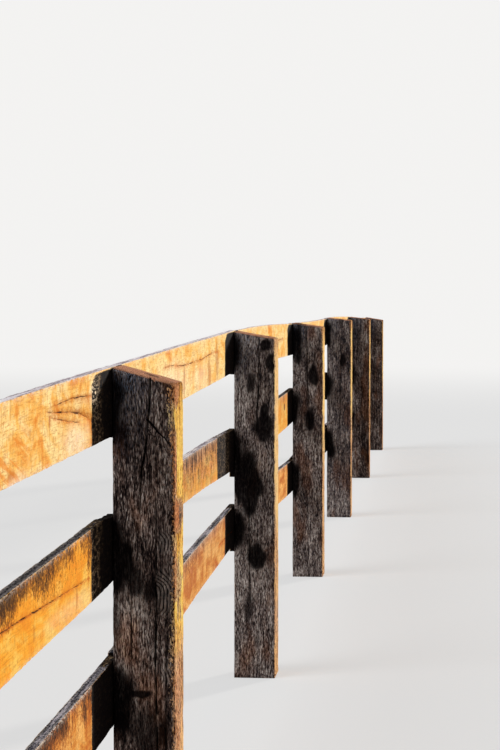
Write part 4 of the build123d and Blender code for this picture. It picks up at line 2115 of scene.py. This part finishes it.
# The rails, course by course from the -X end
RAILS = (
    Rail(
        Course.TOP, 1, *FINE,
        cracks=(
            Crack(INNER, (
                (-5.6, 1.098), (-5.462, 1.102), (-5.379, 1.104), (-5.293, 1.103), (-5.16, 1.097),
            ), 0.0022, 0.004),
            Crack(INNER, (
                (-5.645, 1.092), (-5.544, 1.086), (-5.408, 1.078), (-5.308, 1.07), (-5.249, 1.06),
                (-5.17, 1.041),
            ), 0.0036, 0.0065),
            Crack(INNER, (
                (-5.6, 1.079), (-5.53, 1.072), (-5.42, 1.06), (-5.31, 1.052),
            ), 0.0014, 0.0028),
            Crack(OUTER, ((-7.25, 1.05), (-6.9, 1.06), (-6.5, 1.055)), 0.003, 0.006),
        ),
        knots=(Spot(-6.72, 1.03, 0.026, 0.016),),
        heart=(0.035, 0.01), damp=0.6, damp_reach=0.237,
        weeps=(Spot(-5.606, 1.071, 0.011, 0.015), Spot(-5.93, 1.0, 0.05, 0.012, 0.5)),
        pales=(
            Spot(-5.15, 1.105, 0.055, 0.035), Spot(-5.36, 1.018, 0.16, 0.04),
            Spot(-5.88, 0.985, 0.1, 0.022, 0.8), Spot(-6.5, 1.01, 0.3, 0.03, 0.6),
        ),
        slants=(Spot(-5.94, 1.03, 0.2, 0.07), Spot(-7.0, 1.04, 0.3, 0.05, 0.7)),
    ),
    Rail(
        Course.TOP, 2, *FINE,
        cracks=(
            Crack(INNER, (
                (-4.15, 1.113), (-4.003, 1.116), (-3.766, 1.106), (-3.639, 1.107), (-3.344, 1.109),
                (-3.121, 1.119), (-2.93, 1.119),
            ), 0.0016, 0.003),
            Crack(OUTER, ((-3.1, 1.1), (-2.8, 1.11), (-2.5, 1.105)), 0.003, 0.006),
        ),
        heart=(0.055, -0.015), tone=0.045, damp=0.9, damp_reach=0.246,
        weeps=(
            Spot(-3.724, 1.06, 0.022, 0.05, 0.7), Spot(-3.16, 1.055, 0.05, 0.07, 0.7),
            Spot(-2.97, 1.1, 0.045, 0.07, 0.65),
        ),
        pales=(Spot(-3.95, 1.06, 0.4, 0.07, 0.9), Spot(-3.35, 1.06, 0.25, 0.05, 0.6)),
    ),
    Rail(
        Course.TOP, 3, *MEDIUM,
        cracks=(Crack(INNER, ((-1.5, 1.1), (-1.0, 1.095), (-0.5, 1.1)), 0.003, 0.005),),
        knots=(Spot(-0.9, 1.08, 0.022, 0.014),),
        wane=0.017, heart=(0.045, 0.02), tone=0.05,
    ),
    Rail(
        Course.MIDDLE, 1, *FINE,
        cracks=(
            Crack(INNER, (
                (-6.4, 0.742), (-6.053, 0.744), (-5.815, 0.738), (-5.54, 0.731), (-5.21, 0.722),
            ), 0.003, 0.006),
            Crack(OUTER, ((-6.2, 0.73), (-5.6, 0.745), (-5.0, 0.74)), 0.003, 0.006),
        ),
        knots=(Spot(-6.35, 0.71, 0.028, 0.015),),
        wane=0.008, heart=(0.06, -0.02), mottle=0.86, end_wear=0.011, damp=0.67,
        moulds=(
            Spot(-5.98, 0.79, 0.17, 0.055), Spot(-5.85, 0.8, 0.1, 0.05, 0.95),
            Spot(-5.735, 0.8, 0.055, 0.06, 0.95), Spot(-5.58, 0.8, 0.07, 0.038, 0.8),
            Spot(-5.45, 0.8, 0.1, 0.04, 0.75), Spot(-5.22, 0.78, 0.045, 0.07, 0.65),
        ),
        weeps=(
            Spot(-5.35, 0.7, 0.008, 0.032, 0.8), Spot(-5.222, 0.724, 0.012, 0.006),
            Spot(-5.75, 0.7, 0.012, 0.02, 0.6),
        ),
        pales=(Spot(-5.4, 0.69, 0.3, 0.025, 0.35),),
    ),
    Rail(
        Course.MIDDLE, 2, *FINE,
        cracks=(Crack(OUTER, ((-4.1, 0.77), (-3.6, 0.78), (-3.2, 0.775)), 0.003, 0.006),),
        knots=(Spot(-4.45, 0.785, 0.026, 0.013),),
        heart=(0.05, 0.03), tone=-0.02, mottle=0.9, start_wear=0.014,
        damp=0.74, damp_reach=0.456, dull=0.84, frosted=0.12,
        pales=(Spot(-3.8, 0.7, 0.35, 0.03, 0.35),),
    ),
    Rail(
        Course.MIDDLE, 3, *MEDIUM,
        cracks=(Crack(INNER, ((-2.4, 0.78), (-2.1, 0.785), (-1.88, 0.79)), 0.004, 0.008),),
        knots=(Spot(-0.45, 0.8, 0.026, 0.014),),
        heart=(0.04, 0.0), tone=-0.02, mottle=0.6, dull=0.35,
    ),
    Rail(
        Course.BOTTOM, 1, *FINE,
        cracks=(Crack(INNER, ((-6.3, 0.4), (-5.9, 0.41), (-5.5, 0.405)), 0.003, 0.006),),
        knots=(Spot(-5.62, 0.43, 0.028, 0.015),),
        heart=(0.05, 0.02), mottle=0.88, damp=0.86,
        moulds=(Spot(-5.5, 0.49, 0.13, 0.065), Spot(-5.27, 0.47, 0.035, 0.065, 0.95)),
    ),
    Rail(
        Course.BOTTOM, 2, *FINE,
        cracks=(Crack(INNER, ((-2.96, 0.5), (-2.7, 0.505), (-2.42, 0.5)), 0.004, 0.008),),
        knots=(Spot(-4.5, 0.5, 0.026, 0.014),),
        pales=(Spot(-3.5, 0.56, 0.6, 0.022, 0.5),),
        heart=(0.045, -0.02), mottle=0.55, start_wear=0.006,
        damp=0.9, damp_reach=0.25, dull=0.3,
    ),
    Rail(
        Course.BOTTOM, 3, *MEDIUM,
        knots=(Spot(-0.8, 0.48, 0.026, 0.014),),
        heart=(0.045, 0.01), mottle=0.5,
    ),
    *far_rails(),
)


class Fence:
    """The whole fence: its posts, rails and nails, dressed and put on the frame."""

    def __init__(self) -> None:
        """Make the finishes that the pieces share."""
        self.post_timber = PostFinish().make()
        self.nail_steel = NailFinish().make()
        top = RailFinish(
            "board_top",
            pale=srgb(255, 224, 152), gold=srgb(250, 192, 94), orange=srgb(230, 138, 44),
            late=srgb(192, 116, 44), mould=srgb(122, 72, 30),
            grey=srgb(226, 212, 216), grit=srgb(150, 134, 142), frost=srgb(250, 242, 244),
            stain_share=0.3,
        )
        middle = RailFinish(
            "board_middle",
            pale=srgb(250, 200, 92), gold=srgb(246, 168, 48), orange=srgb(238, 146, 34),
            late=srgb(180, 96, 20), mould=srgb(98, 54, 18),
            grey=srgb(38, 36, 42), grit=srgb(12, 12, 16), frost=srgb(84, 78, 82),
            stain_share=0.16, rim_share=0.62, crackle_share=0.26,
        )
        bottom = RailFinish(
            "board_bottom",
            pale=srgb(250, 190, 106), gold=srgb(222, 148, 64), orange=srgb(190, 98, 32),
            late=srgb(140, 78, 36), mould=srgb(92, 56, 32),
            grey=srgb(92, 88, 96), grit=srgb(28, 27, 36), frost=srgb(184, 174, 178),
            stain_share=0.4, rim_share=0.75, crackle_share=0.34,
        )
        self.boards = {course: board.make() for course, board in zip(Course, (top, middle, bottom))}

    def build(self) -> None:
        """Make every piece, and put it on the frame."""
        for post in POSTS:
            piece = post.build()
            piece.data.materials.append(self.post_timber)
            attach(piece, "root")
            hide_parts(post.node)
            LOG.info("%s: %d faces", piece.name, len(piece.data.polygons))
        for rail in RAILS:
            piece = rail.build()
            piece.data.materials.append(self.boards[rail.course])
            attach(piece, "root")
            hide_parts(rail.node)
            LOG.info("%s: %d faces", piece.name, len(piece.data.polygons))
        for number in range(1, POST_COUNT + 1):
            piece = Nails(number).build()
            piece.data.materials.append(self.nail_steel)
            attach(piece, "root")
            LOG.info("%s: %d faces", piece.name, len(piece.data.polygons))


def main() -> None:
    """Build the fence and the studio."""
    logging.basicConfig(level=logging.INFO, format="%(name)s %(message)s")
    bpy.context.scene.view_settings.view_transform = "Standard"
    Fence().build()
    studio = Studio()
    studio.add_floor()
    studio.add_light()
    studio.add_camera()


if __name__ == "__main__":
    main()
